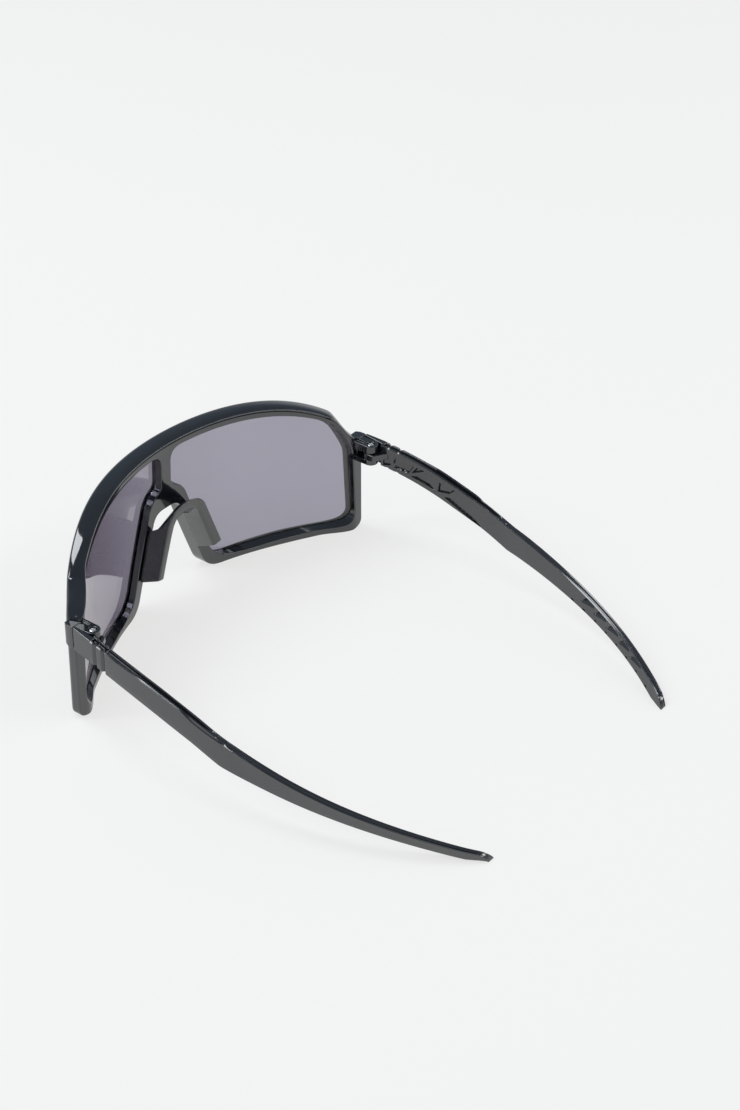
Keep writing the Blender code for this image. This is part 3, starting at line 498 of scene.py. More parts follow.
def rim_section(near, near_normal, far, far_normal, brow):
    """The rim's section at one station as (x, z, depth, lift, turn), and which points are outer.

    near is the station's point on the aperture and far the one on the outer edge, each with its
    normal, and brow is 1 on the brow and 0 elsewhere.
    """
    share_out = min(1.0, abs(far.x) / FRONT_HALF_WIDTH)
    brow_front = BROW_DEPTH - (BROW_DEPTH - BROW_DEPTH_END) * share_out ** 4
    rim_front = eased_out(RIM_DEPTH, RIM_DEPTH_END, far.x)
    front = rim_front + (brow_front - rim_front) * brow
    groove_front = lens_seat(near.x) + LENS_THICKNESS + SEAT_GAP
    groove_back = lens_seat(near.x) - SEAT_GAP
    lip = eased_out(LENS_LIP, LENS_LIP_END, near.x)
    inner_front = groove_front + lip
    rear_edge = near + near_normal * lower_flare(near.x, near_normal)
    points = []
    outer = []

    # rear is the share of the end facet's step that a point takes
    def add(place, depth, lift=0.0, turn=0.0, is_outer=False, rear=0.0):
        points.append((place.x, place.y, depth - rear * end_step(place.x, place.y), lift, turn))
        outer.append(is_outer)

    radius = INNER_REAR_ROUND
    for across, ahead in arc(radius, 180, -90):
        add(rear_edge + near_normal * (radius + across), radius - ahead, rear=1.0)
    start = rear_edge + near_normal * radius
    far_side = OUTER_REAR_ROUND + (BROW_GROOVE_FAR - OUTER_REAR_ROUND) * brow
    near_side = OUTER_REAR_ROUND + (BROW_GROOVE_NEAR - OUTER_REAR_ROUND) * brow
    rear_rim = far - far_normal * (far_side + BROW_GROOVE_SLOPE)
    for share in BETWEEN_SHARES:
        add(start.lerp(rear_rim, share), 0, rear=1.0)
    add(rear_rim, 0, is_outer=True, rear=1.0)
    groove = BROW_GROOVE_DEPTH * brow
    add(far - far_normal * far_side, groove, turn=brow, is_outer=True, rear=1.0)
    add(far - far_normal * near_side, groove, turn=brow, is_outer=True, rear=1.0)
    add(far - far_normal * (near_side - BROW_GROOVE_SLOPE * brow), 0, is_outer=True, rear=1.0)
    radius = OUTER_REAR_ROUND
    for across, ahead in arc(radius, 90, -90):
        add(far - far_normal * (radius - across), radius - ahead, turn=brow, is_outer=True,
            rear=1.0)
    radius = OUTER_FRONT_ROUND
    for share in OUTER_WALL_SHARES:
        depth = OUTER_REAR_ROUND + (front - radius - OUTER_REAR_ROUND) * share
        lift = BROW_CROWN * brow * math.sin(math.pi / 2 * min(1.0, depth / (front / 2)))
        add(far, depth, lift, brow, True, 1 - share)
    lift = BROW_CROWN * brow
    for across, ahead in arc(radius, 0, 90):
        add(far - far_normal * (radius - across), front - radius + ahead, lift, brow, True)
    corner = far - far_normal * radius
    radius = lip * LIP_ROUND_SHARE
    end = near + near_normal * radius
    for share in BETWEEN_SHARES:
        add(corner.lerp(end, share), front + (inner_front - front) * share, lift * (1 - share),
            brow * (1 - share))
    for across, ahead in arc(radius, 90, 90):
        add(near + near_normal * (radius + across), inner_front - radius + ahead)
    bite = near + near_normal * (LENS_BITE + SEAT_GAP)
    add(near, groove_front)
    add(bite, groove_front)
    add(bite, groove_back)
    add(near, groove_back)
    return points, outer


def new_object(name, data):
    """An object with its data, put into the scene."""
    thing = bpy.data.objects.new(name, data)
    bpy.context.collection.objects.link(thing)
    return thing


def new_piece(name, vertices, faces, material, sharp_degrees=SHARP_DEGREES):
    """An object in the CAD frame whose faces point out, with near vertices merged."""
    mesh = bpy.data.meshes.new(name)
    mesh.from_pydata([tuple(Vector(vertex) + FRAME_SHIFT) for vertex in vertices], [], faces)
    shape = bmesh.new()
    shape.from_mesh(mesh)
    bmesh.ops.remove_doubles(shape, verts=shape.verts, dist=MERGE_DISTANCE)
    bmesh.ops.dissolve_degenerate(shape, dist=MERGE_DISTANCE, edges=shape.edges)
    bmesh.ops.recalc_face_normals(shape, faces=shape.faces)
    shape.to_mesh(mesh)
    shape.free()
    mesh.materials.append(material)
    mesh.shade_smooth()
    mesh.set_sharp_from_angle(angle=math.radians(sharp_degrees))
    return new_object(name, mesh)


def baked(piece):
    """Apply the modifiers of a piece to its mesh."""
    graph = bpy.context.evaluated_depsgraph_get()
    mesh = bpy.data.meshes.new_from_object(piece.evaluated_get(graph))
    piece.modifiers.clear()
    piece.data = mesh


def combined(piece, other, operation):
    """Apply one exact boolean to piece and delete the other object."""
    modifier = piece.modifiers.new("cut", "BOOLEAN")
    modifier.operation = operation
    modifier.solver = "EXACT"
    modifier.object = other
    baked(piece)
    bpy.data.objects.remove(other, do_unlink=True)


def flattened(piece):
    """Keep the flat faces of a piece flat in its shading, and apply its modifiers."""
    flat = piece.modifiers.new("flat_faces", "WEIGHTED_NORMAL")
    flat.keep_sharp = True
    baked(piece)


def softened(piece, width, segments=3):
    """Round the edges of a piece and keep its flat faces flat."""
    bevel = piece.modifiers.new("soft_edges", "BEVEL")
    bevel.width = width
    bevel.segments = segments
    bevel.limit_method = "ANGLE"
    bevel.angle_limit = math.radians(SHARP_DEGREES)
    bevel.miter_outer = "MITER_ARC"
    flattened(piece)
    for polygon in piece.data.polygons:
        polygon.use_smooth = True


def lofted(name, rings, material, sharp_degrees=SHARP_DEGREES, caps=True):
    """A piece whose skin runs from ring to ring. All rings have the same number of points."""
    size = len(rings[0])
    vertices = [point for ring in rings for point in ring]
    last = len(vertices) - size
    faces = []
    for here in range(0, last, size):
        there = here + size
        for corner in range(size):
            following = (corner + 1) % size
            faces.append((here + corner, here + following, there + following, there + corner))
    if caps:
        faces.append(tuple(range(size)))
        faces.append(tuple(range(last, len(vertices))))
    return new_piece(name, vertices, faces, material, sharp_degrees)


def turned(name, profile, centre, material):
    """A solid of revolution round an upright axis. profile holds (radius, height) from the foot up."""
    rings = []
    for radius, height in profile:
        ring = []
        for side in range(ROUND_SIDES):
            angle = math.tau * side / ROUND_SIDES
            ring.append(Vector((centre.x + radius * math.cos(angle),
                                centre.y + radius * math.sin(angle), height)))
        rings.append(ring)
    return lofted(name, rings, material)


def prism(name, plan, bottom, top, material):
    """A plan outline extruded between two heights."""
    rings = [[Vector((x, y, height)) for x, y in plan] for height in (bottom, top)]
    return lofted(name, rings, material)


def mirrored_plan(plan, side):
    """A plan outline given for +X, on the chosen side."""
    return [(side * x, y) for x, y in plan]


def side_name(side):
    """The wearer's side."""
    return "left" if side > 0 else "right"


def make_front(material):
    """Both rims with the brow, centre bar and bridge, as one closed skin with rounded edges."""
    near, far = front_outlines()
    brow, middle = station_kind()
    rings = []
    for index in range(len(near)):
        normal = Vector(MIDDLE_NORMALS.get(middle[index], outward(far, index)))
        points, outer = rim_section(near[index], outward(near, index), far[index], normal,
                                    brow[index])
        rings.append(points)
    size = len(rings[0])
    vertices = []
    faces = []
    for side in (1, -1):
        base = len(vertices)
        for ring in rings:
            for x, z, depth, lift, turn in ring:
                point = wrapped(x, z, depth, turn)
                vertices.append(Vector((side * point.x, point.y, point.z + lift)))
        for index in range(len(rings)):
            following_ring = (index + 1) % len(rings)
            here = base + index * size
            there = base + following_ring * size
            on_plane = middle[index] != "" and middle[following_ring] != ""
            for corner in range(size):
                following = (corner + 1) % size
                if on_plane and outer[corner] and outer[following]:
                    continue
                faces.append((here + corner, here + following, there + following, there + corner))
    piece = new_piece("front_shell", vertices, faces, material, FRONT_SHARP_DEGREES)
    flattened(piece)
    return piece


def hinge_levels():
    """Heights of the knuckles, from the top down: (bottom, top) of upper, middle and lower."""
    upper = (HINGE_TOP - UPPER_KNUCKLE, HINGE_TOP)
    middle_top = upper[0] - KNUCKLE_GAP
    middle = (middle_top - MIDDLE_KNUCKLE, middle_top)
    lower_top = middle[0] - KNUCKLE_GAP
    return upper, middle, (lower_top - LOWER_KNUCKLE, lower_top)


def half_knuckle(start):
    """Plan of one half of a knuckle's round, from a start angle on."""
    plan = []
    sides = ROUND_SIDES // 2
    for step in range(sides + 1):
        angle = start + math.pi * step / sides
        plan.append((HINGE_HALF_SPACING + KNUCKLE_RADIUS * math.cos(angle),
                     KNUCKLE_RADIUS * math.sin(angle)))
    return plan


def tongue_plan(reach_front):
    """Plan of a knuckle with a straight neck that runs forward to reach_front."""
    plan = half_knuckle(0)
    plan.append((HINGE_HALF_SPACING - KNUCKLE_RADIUS, -reach_front))
    plan.append((HINGE_HALF_SPACING + KNUCKLE_RADIUS, -reach_front))
    return plan


def make_front_hinge(side, material):
    """End block and the two front knuckles of one hinge."""
    upper, _, lower = hinge_levels()
    name = side_name(side)
    axis = Vector((side * HINGE_HALF_SPACING, 0, 0))
    anchor = -rear_face(HINGE_HALF_SPACING, HINGE_TOP) + TONGUE_ANCHOR_DEPTH
    inner_x = HINGE_HALF_SPACING - KNUCKLE_RADIUS + END_BLOCK_INSET
    outer_x = FRONT_HALF_WIDTH + END_BLOCK_OUTSET
    rear_y = -(ARM_FRONT + SEAT_GAP)
    front_y = -anchor - END_BLOCK_DEPTH / 2
    block = [(inner_x, front_y), (outer_x - END_BLOCK_OUTSET / 2, front_y),
             (outer_x, front_y + END_BLOCK_DEPTH / 2), (outer_x, rear_y), (inner_x, rear_y)]
    body = prism(f"end_block_{name}", mirrored_plan(block, side), lower[0] - END_BLOCK_MARGIN,
                 upper[1] + END_BLOCK_MARGIN, material)
    for label, levels in (("upper", upper), ("lower", lower)):
        plan = mirrored_plan(tongue_plan(anchor), side)
        combined(body, prism(f"tongue_{label}", plan, levels[0], levels[1], material), "UNION")
    bore_radius = SCREW_SHANK_RADIUS + SEAT_GAP / 2
    pocket_radius = SCREW_HEAD_RADIUS + SEAT_GAP / 2
    pocket_floor = upper[1] - SCREW_HEAD_RECESS - SCREW_HEAD_HEIGHT
    profile = [(bore_radius, lower[0] - SEAT_GAP), (bore_radius, pocket_floor),
               (pocket_radius, pocket_floor), (pocket_radius, upper[1] + SEAT_GAP)]
    combined(body, turned("bore", profile, axis, material), "DIFFERENCE")
    slot_outer = HINGE_HALF_SPACING - TONGUE_SLOT_OFFSET
    slot_inner = slot_outer - TONGUE_SLOT_WIDTH
    slot_plan = [(slot_inner, -TONGUE_SLOT_START), (slot_outer, -TONGUE_SLOT_START),
                 (slot_outer, -TONGUE_SLOT_END), (slot_inner, -TONGUE_SLOT_END)]
    slot = prism("slot", mirrored_plan(slot_plan, side), upper[1] - TONGUE_SLOT_DEPTH,
                 upper[1] + END_BLOCK_MARGIN + SEAT_GAP, material)
    combined(body, slot, "DIFFERENCE")
    softened(body, HINGE_EDGE_ROUND)
    return body


def make_lens(side, material):
    """One lens, whose edge lies in the rim's groove."""
    near, _ = front_outlines()
    edge = []
    for index, point in enumerate(near):
        edge.append(point + outward(near, index) * LENS_BITE)
    centre = sum(edge, Vector((0, 0))) / len(edge)
    shares = [step / LENS_STEPS for step in range(LENS_STEPS + 1)]
    rings = []
    for ahead in (0, LENS_THICKNESS):
        for share in shares if not rings else reversed(shares):
            ring = []
            for point in edge:
                flat = centre.lerp(point, share)
                spot = wrapped(flat.x, flat.y, lens_seat(flat.x) + ahead)
                ring.append(Vector((side * spot.x, spot.y, spot.z)))
            rings.append(ring)
    return lofted(f"lens_glazing_{side_name(side)}", rings, material, FRONT_SHARP_DEGREES, False)


def arm_outer(y):
    """Half width of the temple's outer face."""
    if y < ARM_OUTERMOST_Y:
        return ARM_OUTERMOST_X - ARM_FRONT_TUCK * ((ARM_OUTERMOST_Y - y) / ARM_OUTERMOST_Y) ** 2
    share = (y - ARM_OUTERMOST_Y) / (ARM_LENGTH - ARM_OUTERMOST_Y)
    return ARM_OUTERMOST_X - ARM_CURL * share ** ARM_CURL_POWER


def arm_top(y):
    """Height of the temple's top edge."""
    level = ARM_TOP_LINE - (ARM_TOP_LINE - ARM_TIP_TOP) * y / ARM_LENGTH
    if y < ARM_LEVEL_Y:
        level -= ARM_LEVEL_DROP * (1 - y / ARM_LEVEL_Y) ** 2
    dip = smoothstep((y - ARM_DIP_Y) / ARM_DIP_REACH)
    return level - ARM_DIP * dip * (1 - smoothstep((y - ARM_DIP_END_Y) / ARM_DIP_FADE))


def arm_height(y):
    """Height of the temple's section."""
    if y < ARM_KNEE_Y:
        share = (y + ARM_FRONT) / (ARM_KNEE_Y + ARM_FRONT)
        return ARM_HEIGHT_FRONT + (ARM_HEIGHT_KNEE - ARM_HEIGHT_FRONT) * share ** 2
    left = max((ARM_LENGTH - y) / (ARM_LENGTH - ARM_KNEE_Y), 0)
    return ARM_TIP_HEIGHT + (ARM_HEIGHT_KNEE - ARM_TIP_HEIGHT) * left ** ARM_TAPER_POWER


def arm_thickness(y):
    """Thickness of the temple across its section."""
    share = (y - ARM_OUTERMOST_Y) / (ARM_KNEE_Y - ARM_OUTERMOST_Y)
    return ARM_THICK_FRONT + (ARM_THICK_REAR - ARM_THICK_FRONT) * smoothstep(share)


def channel_depth(y):
    """Depth of the channel along the temple's top."""
    fade = 1 - smoothstep((y - CHANNEL_END_Y) / (ARM_KNEE_Y - CHANNEL_END_Y))
    return CHANNEL_DEPTH * fade


def plate_rise(y):
    """How far the outer edge of the temple's top stands above the rest, below 0 behind the shoulder."""
    rise = PLATE_RISE * smoothstep((y - PLATE_RISE_Y) / PLATE_RISE_REACH)
    fall = (PLATE_RISE + SHOULDER_DROP) * smoothstep((y - SHOULDER_Y) / SHOULDER_REACH)
    return rise - fall + SHOULDER_DROP * smoothstep((y - SHOULDER_Y - SHOULDER_REACH) / SHOULDER_FADE)


def arm_slant(y):
    """Outward lean of the temple's section per unit of height."""
    return ARM_TIP_SLANT * max(y - ARM_SLANT_Y, 0) / (ARM_LENGTH - ARM_SLANT_Y)


def groove_cut(y):
    """How far the outer face is cut back by its two upright grooves."""
    cut = 0.0
    for place in GROOVE_PLACES:
        cut = max(cut, GROOVE_DEPTH * (1 - abs(y - place) / GROOVE_HALF_WIDTH))
    return cut


def pocket_distance(y, z, pocket):
    """Signed distance from a place on the inner face to a pocket's outline, below 0 inside it."""
    nearest = 1.0
    inside = False
    count = len(pocket)
    for index in range(count):
        ay, az = pocket[index]
        by, bz = pocket[(index + 1) % count]
        along_y = by - ay
        along_z = bz - az
        share = clamped(((y - ay) * along_y + (z - az) * along_z) / (along_y ** 2 + along_z ** 2))
        nearest = min(nearest, math.hypot(y - ay - along_y * share, z - az - along_z * share))
        if (az > z) != (bz > z) and y < ay + along_y * (z - az) / along_z:
            inside = not inside
    return -nearest if inside else nearest


def pocket_cut(y, z):
    """Depth of the pockets at a place on the inner face."""
    cut = 0.0
    for pocket in POCKETS:
        distance = pocket_distance(y, z, pocket)
        cut = max(cut, POCKET_DEPTH * smoothstep(0.5 - distance / POCKET_SLOPE))
    return cut


def grip_cut(y, z):
    """Depth of the slanted grip wedges and of the small bottom notches at a place on the inner face."""
    cut = 0.0
    reach = arm_height(y) * GRIP_HEIGHT_SHARE
    drop = arm_top(y) - GRIP_MARGIN - z
    for index in range(GRIP_COUNT):
        share = (y - GRIP_FIRST_Y - GRIP_SPACING * index) / GRIP_LENGTH
        low = reach * (1 - GRIP_CLOSE_SHARE * share)
        high = reach * max(0.0, 1 - share / GRIP_RISE_SHARE)
        if 0 < share < 1 and high < drop < low:
            cut = GRIP_SLOPE * (low - drop)
    above = z - max(arm_top(y) - arm_height(y), 0.0)
    for index in range(NOTCH_COUNT):
        aside = abs(y - NOTCH_FIRST_Y - NOTCH_SPACING * index)
        if aside < NOTCH_HALF_WIDTH and above < NOTCH_HEIGHT:
            cut = NOTCH_DEPTH
    return cut


def arm_section(y, side):
    """The temple's section at one place, with its softened edges, pockets and grips."""
    cut = groove_cut(y)
    outer = arm_outer(y) - cut
    top = arm_top(y) - cut * GROOVE_TOP_SHARE
    bottom = max(arm_top(y) - arm_height(y), 0.0) + cut * GROOVE_BOTTOM_SHARE
    inner = arm_outer(y) - arm_thickness(y)
    ending = 1 - max(0.0, (y - ARM_LENGTH + TIP_ROUND) / TIP_ROUND)
    closing = math.sqrt(max(1 - (1 - ending) ** 2, TIP_CLOSE_SHARE ** 2))
    if ending < 1:
        top = bottom + (top - bottom) * closing
    floor = top - channel_depth(y)
    thick = outer - inner
    wall = outer - thick * PLATE_SHARE
    foot = wall - thick * CHANNEL_SLOPE_SHARE
    far_foot = foot - thick * (CHANNEL_SHARE - CHANNEL_SLOPE_SHARE)
    far_wall = far_foot - thick * CHANNEL_SLOPE_SHARE
    edge = min(ARM_EDGE, thick * ARM_EDGE_SHARE, (top - bottom) * ARM_EDGE_SHARE)
    lip = edge * ARM_LIP_SHARE
    places = []
    for across, up in arc(edge, -90, 90):
        places.append((outer - edge + across, bottom + edge + up))
    rise = plate_rise(y)
    ridge = top + max(rise, 0.0)
    for share in BETWEEN_SHARES:
        places.append((outer, bottom + edge + (top + rise - bottom - 2 * edge) * share))
    places.extend([(outer, top + rise - edge), (outer - edge, top + rise), (wall + lip, ridge),
                   (wall, ridge - lip), (foot, floor), (far_foot, floor), (far_wall, top - lip),
                   (far_wall - lip, top), (inner + edge, top)])
    for step in range(ARM_INNER_STEPS):
        z = top - edge - (top - bottom - edge * 2) * step / ARM_INNER_STEPS
        places.append((inner + pocket_cut(y, z) + grip_cut(y, z), z))
    for across, up in arc(edge, 180, 90):
        places.append((inner + edge + across, bottom + edge + up))
    slant = arm_slant(y)
    middle = (top + bottom) / 2
    return [Vector((side * (x + slant * (z - middle)), y, z)) for x, z in places]


def arm_stations():
    """Places along the temple where its section is drawn."""
    places = []
    y = ARM_START
    while y < ARM_KNEE_Y:
        places.append(y)
        y += ARM_FRONT_STEP
    while y < ARM_LENGTH - TIP_ROUND:
        places.append(y)
        y += ARM_REAR_STEP
    for step in range(TIP_STEPS + 1):
        places.append(ARM_LENGTH - TIP_ROUND * (1 - math.sin(math.pi / 2 * step / TIP_STEPS)))
    return places


def make_cheek(side, material):
    """The front end of one temple, outside the hinge."""
    inner_x = HINGE_HALF_SPACING + KNUCKLE_RADIUS + SEAT_GAP
    rings = []
    for step in range(CHEEK_STEPS + 1):
        y = -ARM_FRONT + (ARM_START + CHEEK_OVERLAP + ARM_FRONT) * step / CHEEK_STEPS
        top = arm_top(y)
        bottom = top - arm_height(y)
        outer = arm_outer(y)
        corners = ((outer, bottom), (outer, top), (inner_x, top), (inner_x, bottom))
        rings.append([Vector((side * x, y, z)) for x, z in corners])
    cheek = lofted(f"temple_cheek_{side_name(side)}", rings, material)
    softened(cheek, HINGE_EDGE_ROUND)
    return cheek


def make_temple_knuckle(side, material):
    """The middle knuckle of one hinge, which joins the temple behind it."""
    _, middle, _ = hinge_levels()
    plan = half_knuckle(math.pi)
    plan.append((arm_outer(0) - ARM_THICK_FRONT / 2, ARM_START + ARM_THICK_FRONT))
    plan.append((HINGE_HALF_SPACING - KNUCKLE_RADIUS, ARM_START))
    knuckle = prism(f"temple_knuckle_{side_name(side)}", mirrored_plan(plan, side), middle[0],
                    middle[1], material)
    softened(knuckle, HINGE_EDGE_ROUND)
    return knuckle


def make_temple(side, material):
    """One temple with its cheek and middle knuckle."""
    rings = [arm_section(y, side) for y in arm_stations()]
    arm = lofted(f"temple_arm_{side_name(side)}", rings, material, ARM_SHARP_DEGREES)
    flattened(arm)
    return [arm, make_cheek(side, material), make_temple_knuckle(side, material)]


def make_screw(side, material):
    """One hinge screw with a domed head and a cross recess."""
    upper, _, lower = hinge_levels()
    head_top = upper[1] - SCREW_HEAD_RECESS
    head_bottom = head_top - SCREW_HEAD_HEIGHT
    tip = lower[0] + SEAT_GAP
    axis = Vector((side * HINGE_HALF_SPACING, 0, 0))
    profile = [(SCREW_SHANK_RADIUS * SCREW_TIP_SHARE, tip),
               (SCREW_SHANK_RADIUS, tip + SCREW_SHANK_RADIUS * (1 - SCREW_TIP_SHARE)),
               (SCREW_SHANK_RADIUS, head_bottom), (SCREW_HEAD_RADIUS, head_bottom)]
    for width_share, depth_share in SCREW_DOME_SHARES:
        profile.append((SCREW_HEAD_RADIUS * width_share, head_top - SCREW_HEAD_HEIGHT * depth_share))
    screw = turned(f"screw_{side_name(side)}", profile, axis, material)
    for length, width in ((SCREW_CROSS_LENGTH, SCREW_CROSS_WIDTH),
                          (SCREW_CROSS_WIDTH, SCREW_CROSS_LENGTH)):
        plan = [(axis.x - length / 2, -width / 2), (axis.x + length / 2, -width / 2),
                (axis.x + length / 2, width / 2), (axis.x - length / 2, width / 2)]
        slot = prism("cross", plan, head_top - SCREW_CROSS_DEPTH, head_top + SEAT_GAP, material)
        combined(screw, slot, "DIFFERENCE")
    softened(screw, SCREW_EDGE_ROUND, 2)
    return screw


def nose_edge(z):
    """Half width of the front's nose edge at a height."""
    share = z / BRIDGE_HEIGHT
    return NOSE_CORNER_X + (BRIDGE_CORNER_X - NOSE_CORNER_X) * share


def nose_stations():
    """The nose piece's stations from one pad's foot over the strap to the other's, as real lengths."""
    half = []
    for height, width, setback, rear_width, rise, lean, thickness in NOSE_STATIONS:
        z = BRIDGE_HEIGHT * height
        half.append((nose_edge(z) * width, z, NOSE_REACH * setback, nose_edge(z) * rear_width, rise,
                     math.radians(lean), thickness))
    other = []
    for x, z, setback, rear_x, rise, lean, thickness in reversed(half[:-1]):
        other.append((-x, z, setback, -rear_x, rise, math.pi - lean, thickness))
    return half + other


def between(stations, place):
    """The numbers at a place on the smooth curve through all stations."""
    index = min(int(place), len(stations) - 2)
    share = place - index
    nearby = [stations[min(max(near, 0), len(stations) - 1)] for near in range(index - 1, index + 3)]
    values = []
    for before, start, end, after in zip(*nearby):
        bend = 2 * before - 5 * start + 4 * end - after
        twist = 3 * (start - end) + after - before
        values.append(start + ((end - before) * share + bend * share ** 2 + twist * share ** 3) / 2)
    return values


def rounded_section(corners, radii):
    """Points round a section given by corners as (along, across), each rounded by its radius."""
    points = []
    count = len(corners)
    for index, corner in enumerate(corners):
        point = Vector(corner)
        before = Vector(corners[index - 1]) - point
        after = Vector(corners[(index + 1) % count]) - point
        start = point + before.normalized() * min(radii[index], before.length / 2)
        end = point + after.normalized() * min(radii[index], after.length / 2)
        for step in range(NOSE_ROUND_STEPS + 1):
            share = step / NOSE_ROUND_STEPS
            points.append(start.lerp(point, share).lerp(point.lerp(end, share), share))
    return points


def nose_ring(x, z, setback, rear_x, rise, lean, thickness, inset):
    """The nose piece's rounded section at one station, drawn in by inset near its feet."""
    reach = NOSE_REACH - setback
    corners = ((inset / 2, inset), (reach - inset, inset), (reach - inset, thickness - inset),
               (inset / 2, thickness - inset))
    radii = (NOSE_SEAT_ROUND, NOSE_EDGE_ROUND, NOSE_EDGE_ROUND, NOSE_SEAT_ROUND)
    ring = []
    for point in rounded_section(corners, radii):
        along = point.x / reach
        aside = x + point.y * math.cos(lean)
        height = z + point.y * math.sin(lean)
        seat = rear_face(abs(aside), height) + SEAT_GAP + setback
        ring.append(Vector((aside + (rear_x - x) * along, seat + point.x, height + rise * along)))
    return ring


def make_nose_piece(material):
    """Two pads and the strap that joins them, as one soft moulding with rounded feet."""
    stations = nose_stations()
    last = len(stations) - 1
    foot = NOSE_FOOT_ROUND / (BRIDGE_HEIGHT * (NOSE_STATIONS[1][0] - NOSE_STATIONS[0][0]))
    places = []
    for step in range(NOSE_FOOT_STEPS + 1):
        angle = math.pi / 2 * step / NOSE_FOOT_STEPS
        places.append((foot * (1 - math.cos(angle)), NOSE_FOOT_ROUND * (1 - math.sin(angle))))
    count = last * NOSE_STEPS
    for step in range(1, count):
        place = last * step / count
        if foot < place < last - foot:
            places.append((place, 0.0))
    ends = [(last - place, inset) for place, inset in places[:NOSE_FOOT_STEPS + 1]]
    rings = []
    for place, inset in places + ends[::-1]:
        rings.append(nose_ring(*between(stations, place), inset))
    return lofted("nose_moulding", rings, material, NOSE_SHARP_DEGREES)


def new_node(tree, kind, **values):
    """A new shader node with some of its inputs set."""
    node = tree.nodes.new(f"ShaderNode{kind}")
    for name, value in values.items():
        node.inputs[name].default_value = value
    return node


def noise_of(tree, scale, detail):
    """A noise over the object, of a given scale and detail."""
    place = new_node(tree, "TexCoord")
    noise = new_node(tree, "TexNoise", Scale=scale, Detail=detail)
    tree.links.new(place.outputs["Object"], noise.inputs["Vector"])
    return noise


def mixed(tree, low, high, scale, detail, contrast):
    """A node whose colour wanders between two colours with a noise of the given scale."""
    noise = noise_of(tree, scale, detail)
    ramp = new_node(tree, "ValToRGB")
    ramp.color_ramp.elements[0].position = 0.5 - contrast
    ramp.color_ramp.elements[1].position = 0.5 + contrast
    ramp.color_ramp.elements[0].color = (*low, 1.0)
    ramp.color_ramp.elements[1].color = (*high, 1.0)
    tree.links.new(noise.outputs["Fac"], ramp.inputs["Fac"])
    return ramp


def bumped(tree, shader, scale, distance, strength):
    """Give a shader a fine noise relief of a real height in metres."""
    noise = noise_of(tree, scale, RELIEF_DETAIL)
    bump = new_node(tree, "Bump", Distance=distance, Strength=strength)
    tree.links.new(noise.outputs["Fac"], bump.inputs["Height"])
    tree.links.new(bump.outputs["Normal"], shader.inputs["Normal"])


def new_material(name):
    """A material with its node tree and its Principled shader."""
    material = bpy.data.materials.new(name)
    material.use_nodes = True
    tree = material.node_tree
    return material, tree, tree.nodes["Principled BSDF"]


def surface(name, low, high, roughness, scale, relief, metallic, ior):
    """A material whose colour, roughness and relief all vary over the surface."""
    material, tree, shader = new_material(name)
    shader.inputs["Metallic"].default_value = metallic
    shader.inputs["IOR"].default_value = ior
    color = mixed(tree, low, high, scale, COLOR_DETAIL, NOISE_CONTRAST)
    tree.links.new(color.outputs["Color"], shader.inputs["Base Color"])
    rough_low, rough_high = [(value,) * 3 for value in roughness]
    rough = mixed(tree, rough_low, rough_high, scale * ROUGHNESS_NOISE_RATIO, ROUGHNESS_DETAIL,
                  NOISE_CONTRAST)
    tree.links.new(rough.outputs["Color"], shader.inputs["Roughness"])
    bumped(tree, shader, *relief)
    return material


def tint_lens(material):
    """Make a material clear, and darker where it is looked through at a slant."""
    tree = material.node_tree
    shader = tree.nodes["Principled BSDF"]
    shader.inputs["Transmission Weight"].default_value = 1.0
    face_on = shader.inputs["Base Color"].links[0].from_socket
    slant = new_node(tree, "LayerWeight", Blend=0.5)
    span = new_node(tree, "MapRange")
    span.inputs["From Min"].default_value = LENS_SLANT_SPAN[0]
    span.inputs["From Max"].default_value = LENS_SLANT_SPAN[1]
    tree.links.new(slant.outputs["Facing"], span.inputs["Value"])
    tint = new_node(tree, "Mix")
    tint.data_type = "RGBA"
    tree.links.new(span.outputs["Result"], tint.inputs["Factor"])
    tree.links.new(face_on, tint.inputs["A"])
    tint.inputs["B"].default_value = (*LENS_SLANTED_TINT, 1.0)
    tree.links.new(tint.outputs["Result"], shader.inputs["Base Color"])


def floor_surface():
    """Pale studio paper that keeps the object's soft shadow."""
    material, tree, shader = new_material("studio_paper")
    shader.inputs["Roughness"].default_value = FLOOR_ROUGHNESS
    shader.inputs["Specular IOR Level"].default_value = 0.0
    color = mixed(tree, FLOOR_LOW, FLOOR_HIGH, FLOOR_NOISE_SCALE, FLOOR_NOISE_DETAIL,
                  FLOOR_NOISE_CONTRAST)
    tree.links.new(color.outputs["Color"], shader.inputs["Base Color"])
    glow = new_node(tree, "Emission")
    tree.links.new(color.outputs["Color"], glow.inputs["Color"])
    rays = new_node(tree, "LightPath")
    seen = rays.outputs["Is Camera Ray"]
    for kind in ("Is Glossy Ray", "Is Transmission Ray"):
        either = new_node(tree, "Math")
        either.operation = "MAXIMUM"
        tree.links.new(seen, either.inputs[0])
        tree.links.new(rays.outputs[kind], either.inputs[1])
        seen = either.outputs["Value"]
    share = new_node(tree, "Math")
    share.operation = "MULTIPLY"
    share.inputs[1].default_value = FLOOR_GLOW_SHARE
    tree.links.new(seen, share.inputs[0])
    blend = new_node(tree, "MixShader")
    tree.links.new(share.outputs["Value"], blend.inputs["Fac"])
    tree.links.new(shader.outputs["BSDF"], blend.inputs[1])
    tree.links.new(glow.outputs["Emission"], blend.inputs[2])
    output = tree.nodes["Material Output"]
    tree.links.new(blend.outputs["Shader"], output.inputs["Surface"])
    return material


def make_floor():
    """The floor, a wide sheet."""
    mesh = bpy.data.meshes.new("floor")
    half = FLOOR_HALF_SIDE
    mesh.from_pydata([(-half, -half, 0), (half, -half, 0), (half, half, 0), (-half, half, 0)], [],
                     [(0, 1, 2, 3)])
    mesh.materials.append(floor_surface())
    floor = new_object("floor", mesh)


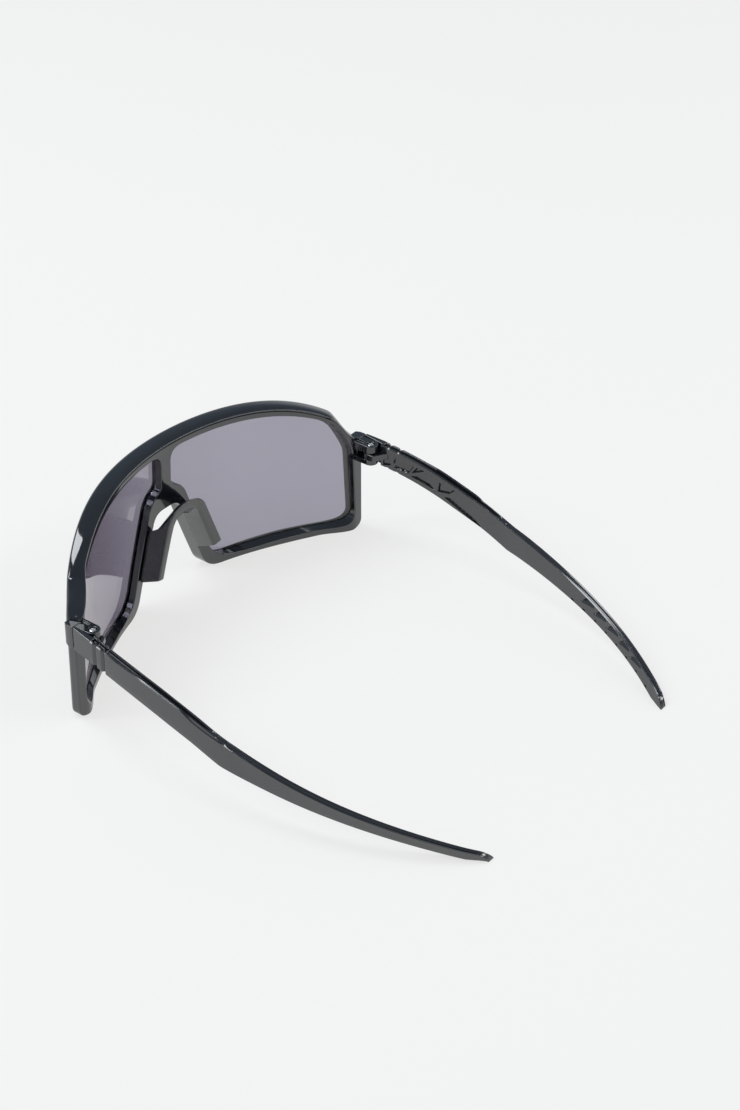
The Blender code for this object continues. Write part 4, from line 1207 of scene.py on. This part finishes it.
def set_pose(thing, axes, place):
    """Put an object at a place, with its own X, Y and Z along three axes."""
    pose = Matrix(axes).transposed().to_4x4()
    pose.translation = place
    thing.matrix_world = pose


def make_softbox(name, direction, along, distance, width, height, power, color):
    """A rectangular studio light that faces the object, its width along a given direction."""
    lamp = bpy.data.lights.new(name, "AREA")
    lamp.shape = "RECTANGLE"
    lamp.size = width
    lamp.size_y = height
    lamp.energy = power
    lamp.color = color
    light = new_object(name, lamp)
    toward = Vector(direction).normalized()
    across = Vector(along)
    across = (across - toward * across.dot(toward)).normalized()
    set_pose(light, (across, toward.cross(across), toward), toward * distance)


def make_world():
    """A studio that is bright near the horizon and dim overhead."""
    world = bpy.data.worlds.new("studio")
    bpy.context.scene.world = world
    world.use_nodes = True
    tree = world.node_tree
    background = tree.nodes["Background"]
    place = new_node(tree, "TexCoord")
    parts = new_node(tree, "SeparateXYZ")
    tree.links.new(place.outputs["Generated"], parts.inputs["Vector"])
    ramp = new_node(tree, "ValToRGB")
    while len(ramp.color_ramp.elements) < len(SKY_STOPS):
        ramp.color_ramp.elements.new(0.5)
    for element, (position, color) in zip(ramp.color_ramp.elements, SKY_STOPS):
        element.position = position
        element.color = (*color, 1.0)
    tree.links.new(parts.outputs["Z"], ramp.inputs["Fac"])
    tree.links.new(ramp.outputs["Color"], background.inputs["Color"])


def make_camera():
    """The camera at the photograph's angle."""
    data = bpy.data.cameras.new("camera")
    data.lens = CAMERA_LENS
    data.sensor_width = CAMERA_SENSOR
    data.clip_start = CAMERA_CLIP
    camera = new_object("camera", data)
    azimuth = math.radians(CAMERA_AZIMUTH)
    elevation = math.radians(CAMERA_ELEVATION)
    back = Vector((math.sin(azimuth) * math.cos(elevation),
                   -math.cos(azimuth) * math.cos(elevation), math.sin(elevation)))
    right = Vector((0, 0, 1)).cross(back).normalized()
    set_pose(camera, (right, back.cross(right), back), CAMERA_PLACE)
    bpy.context.scene.camera = camera


def dress():
    """Make every piece, hide the CAD part it takes the place of and let it ride on its body."""
    looks = {slot: surface(*look) for slot, look in LOOKS.items()}
    tint_lens(looks["lens_smoke"])
    shell = make_front(looks["frame_gloss"])
    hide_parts("front_frame")
    front_pieces = [(shell, "frame_gloss")]
    for side in (1, -1):
        name = side_name(side)
        hinge = make_front_hinge(side, looks["frame_gloss"])
        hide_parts("front_frame")
        front_pieces.append((hinge, "frame_gloss"))
        lens = make_lens(side, looks["lens_smoke"])
        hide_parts(f"lens_{name}")
        front_pieces.append((lens, "lens_smoke"))
        screw = make_screw(side, looks["screw_steel"])
        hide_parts(f"hinge_screw_{name}")
        front_pieces.append((screw, "screw_steel"))
        # The insert keeps its CAD shape and only takes the brass
        insert = bpy.data.objects[f"hinge_insert_{name}"]
        insert.data.materials.clear()
        insert.data.materials.append(looks["insert_brass"])
        for piece in make_temple(side, looks["temple_gloss"]):
            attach(piece, f"{name}_temple")
            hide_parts(f"temple_{name}")
    nose = make_nose_piece(looks["nose_rubber"])
    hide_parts("nose_piece")
    front_pieces.append((nose, "nose_rubber"))
    for piece, slot in front_pieces:
        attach(piece, "front")


make_camera()
make_floor()
make_world()
for softbox in SOFTBOXES:
    make_softbox(*softbox)
dress()
bpy.context.scene.view_settings.view_transform = "Standard"
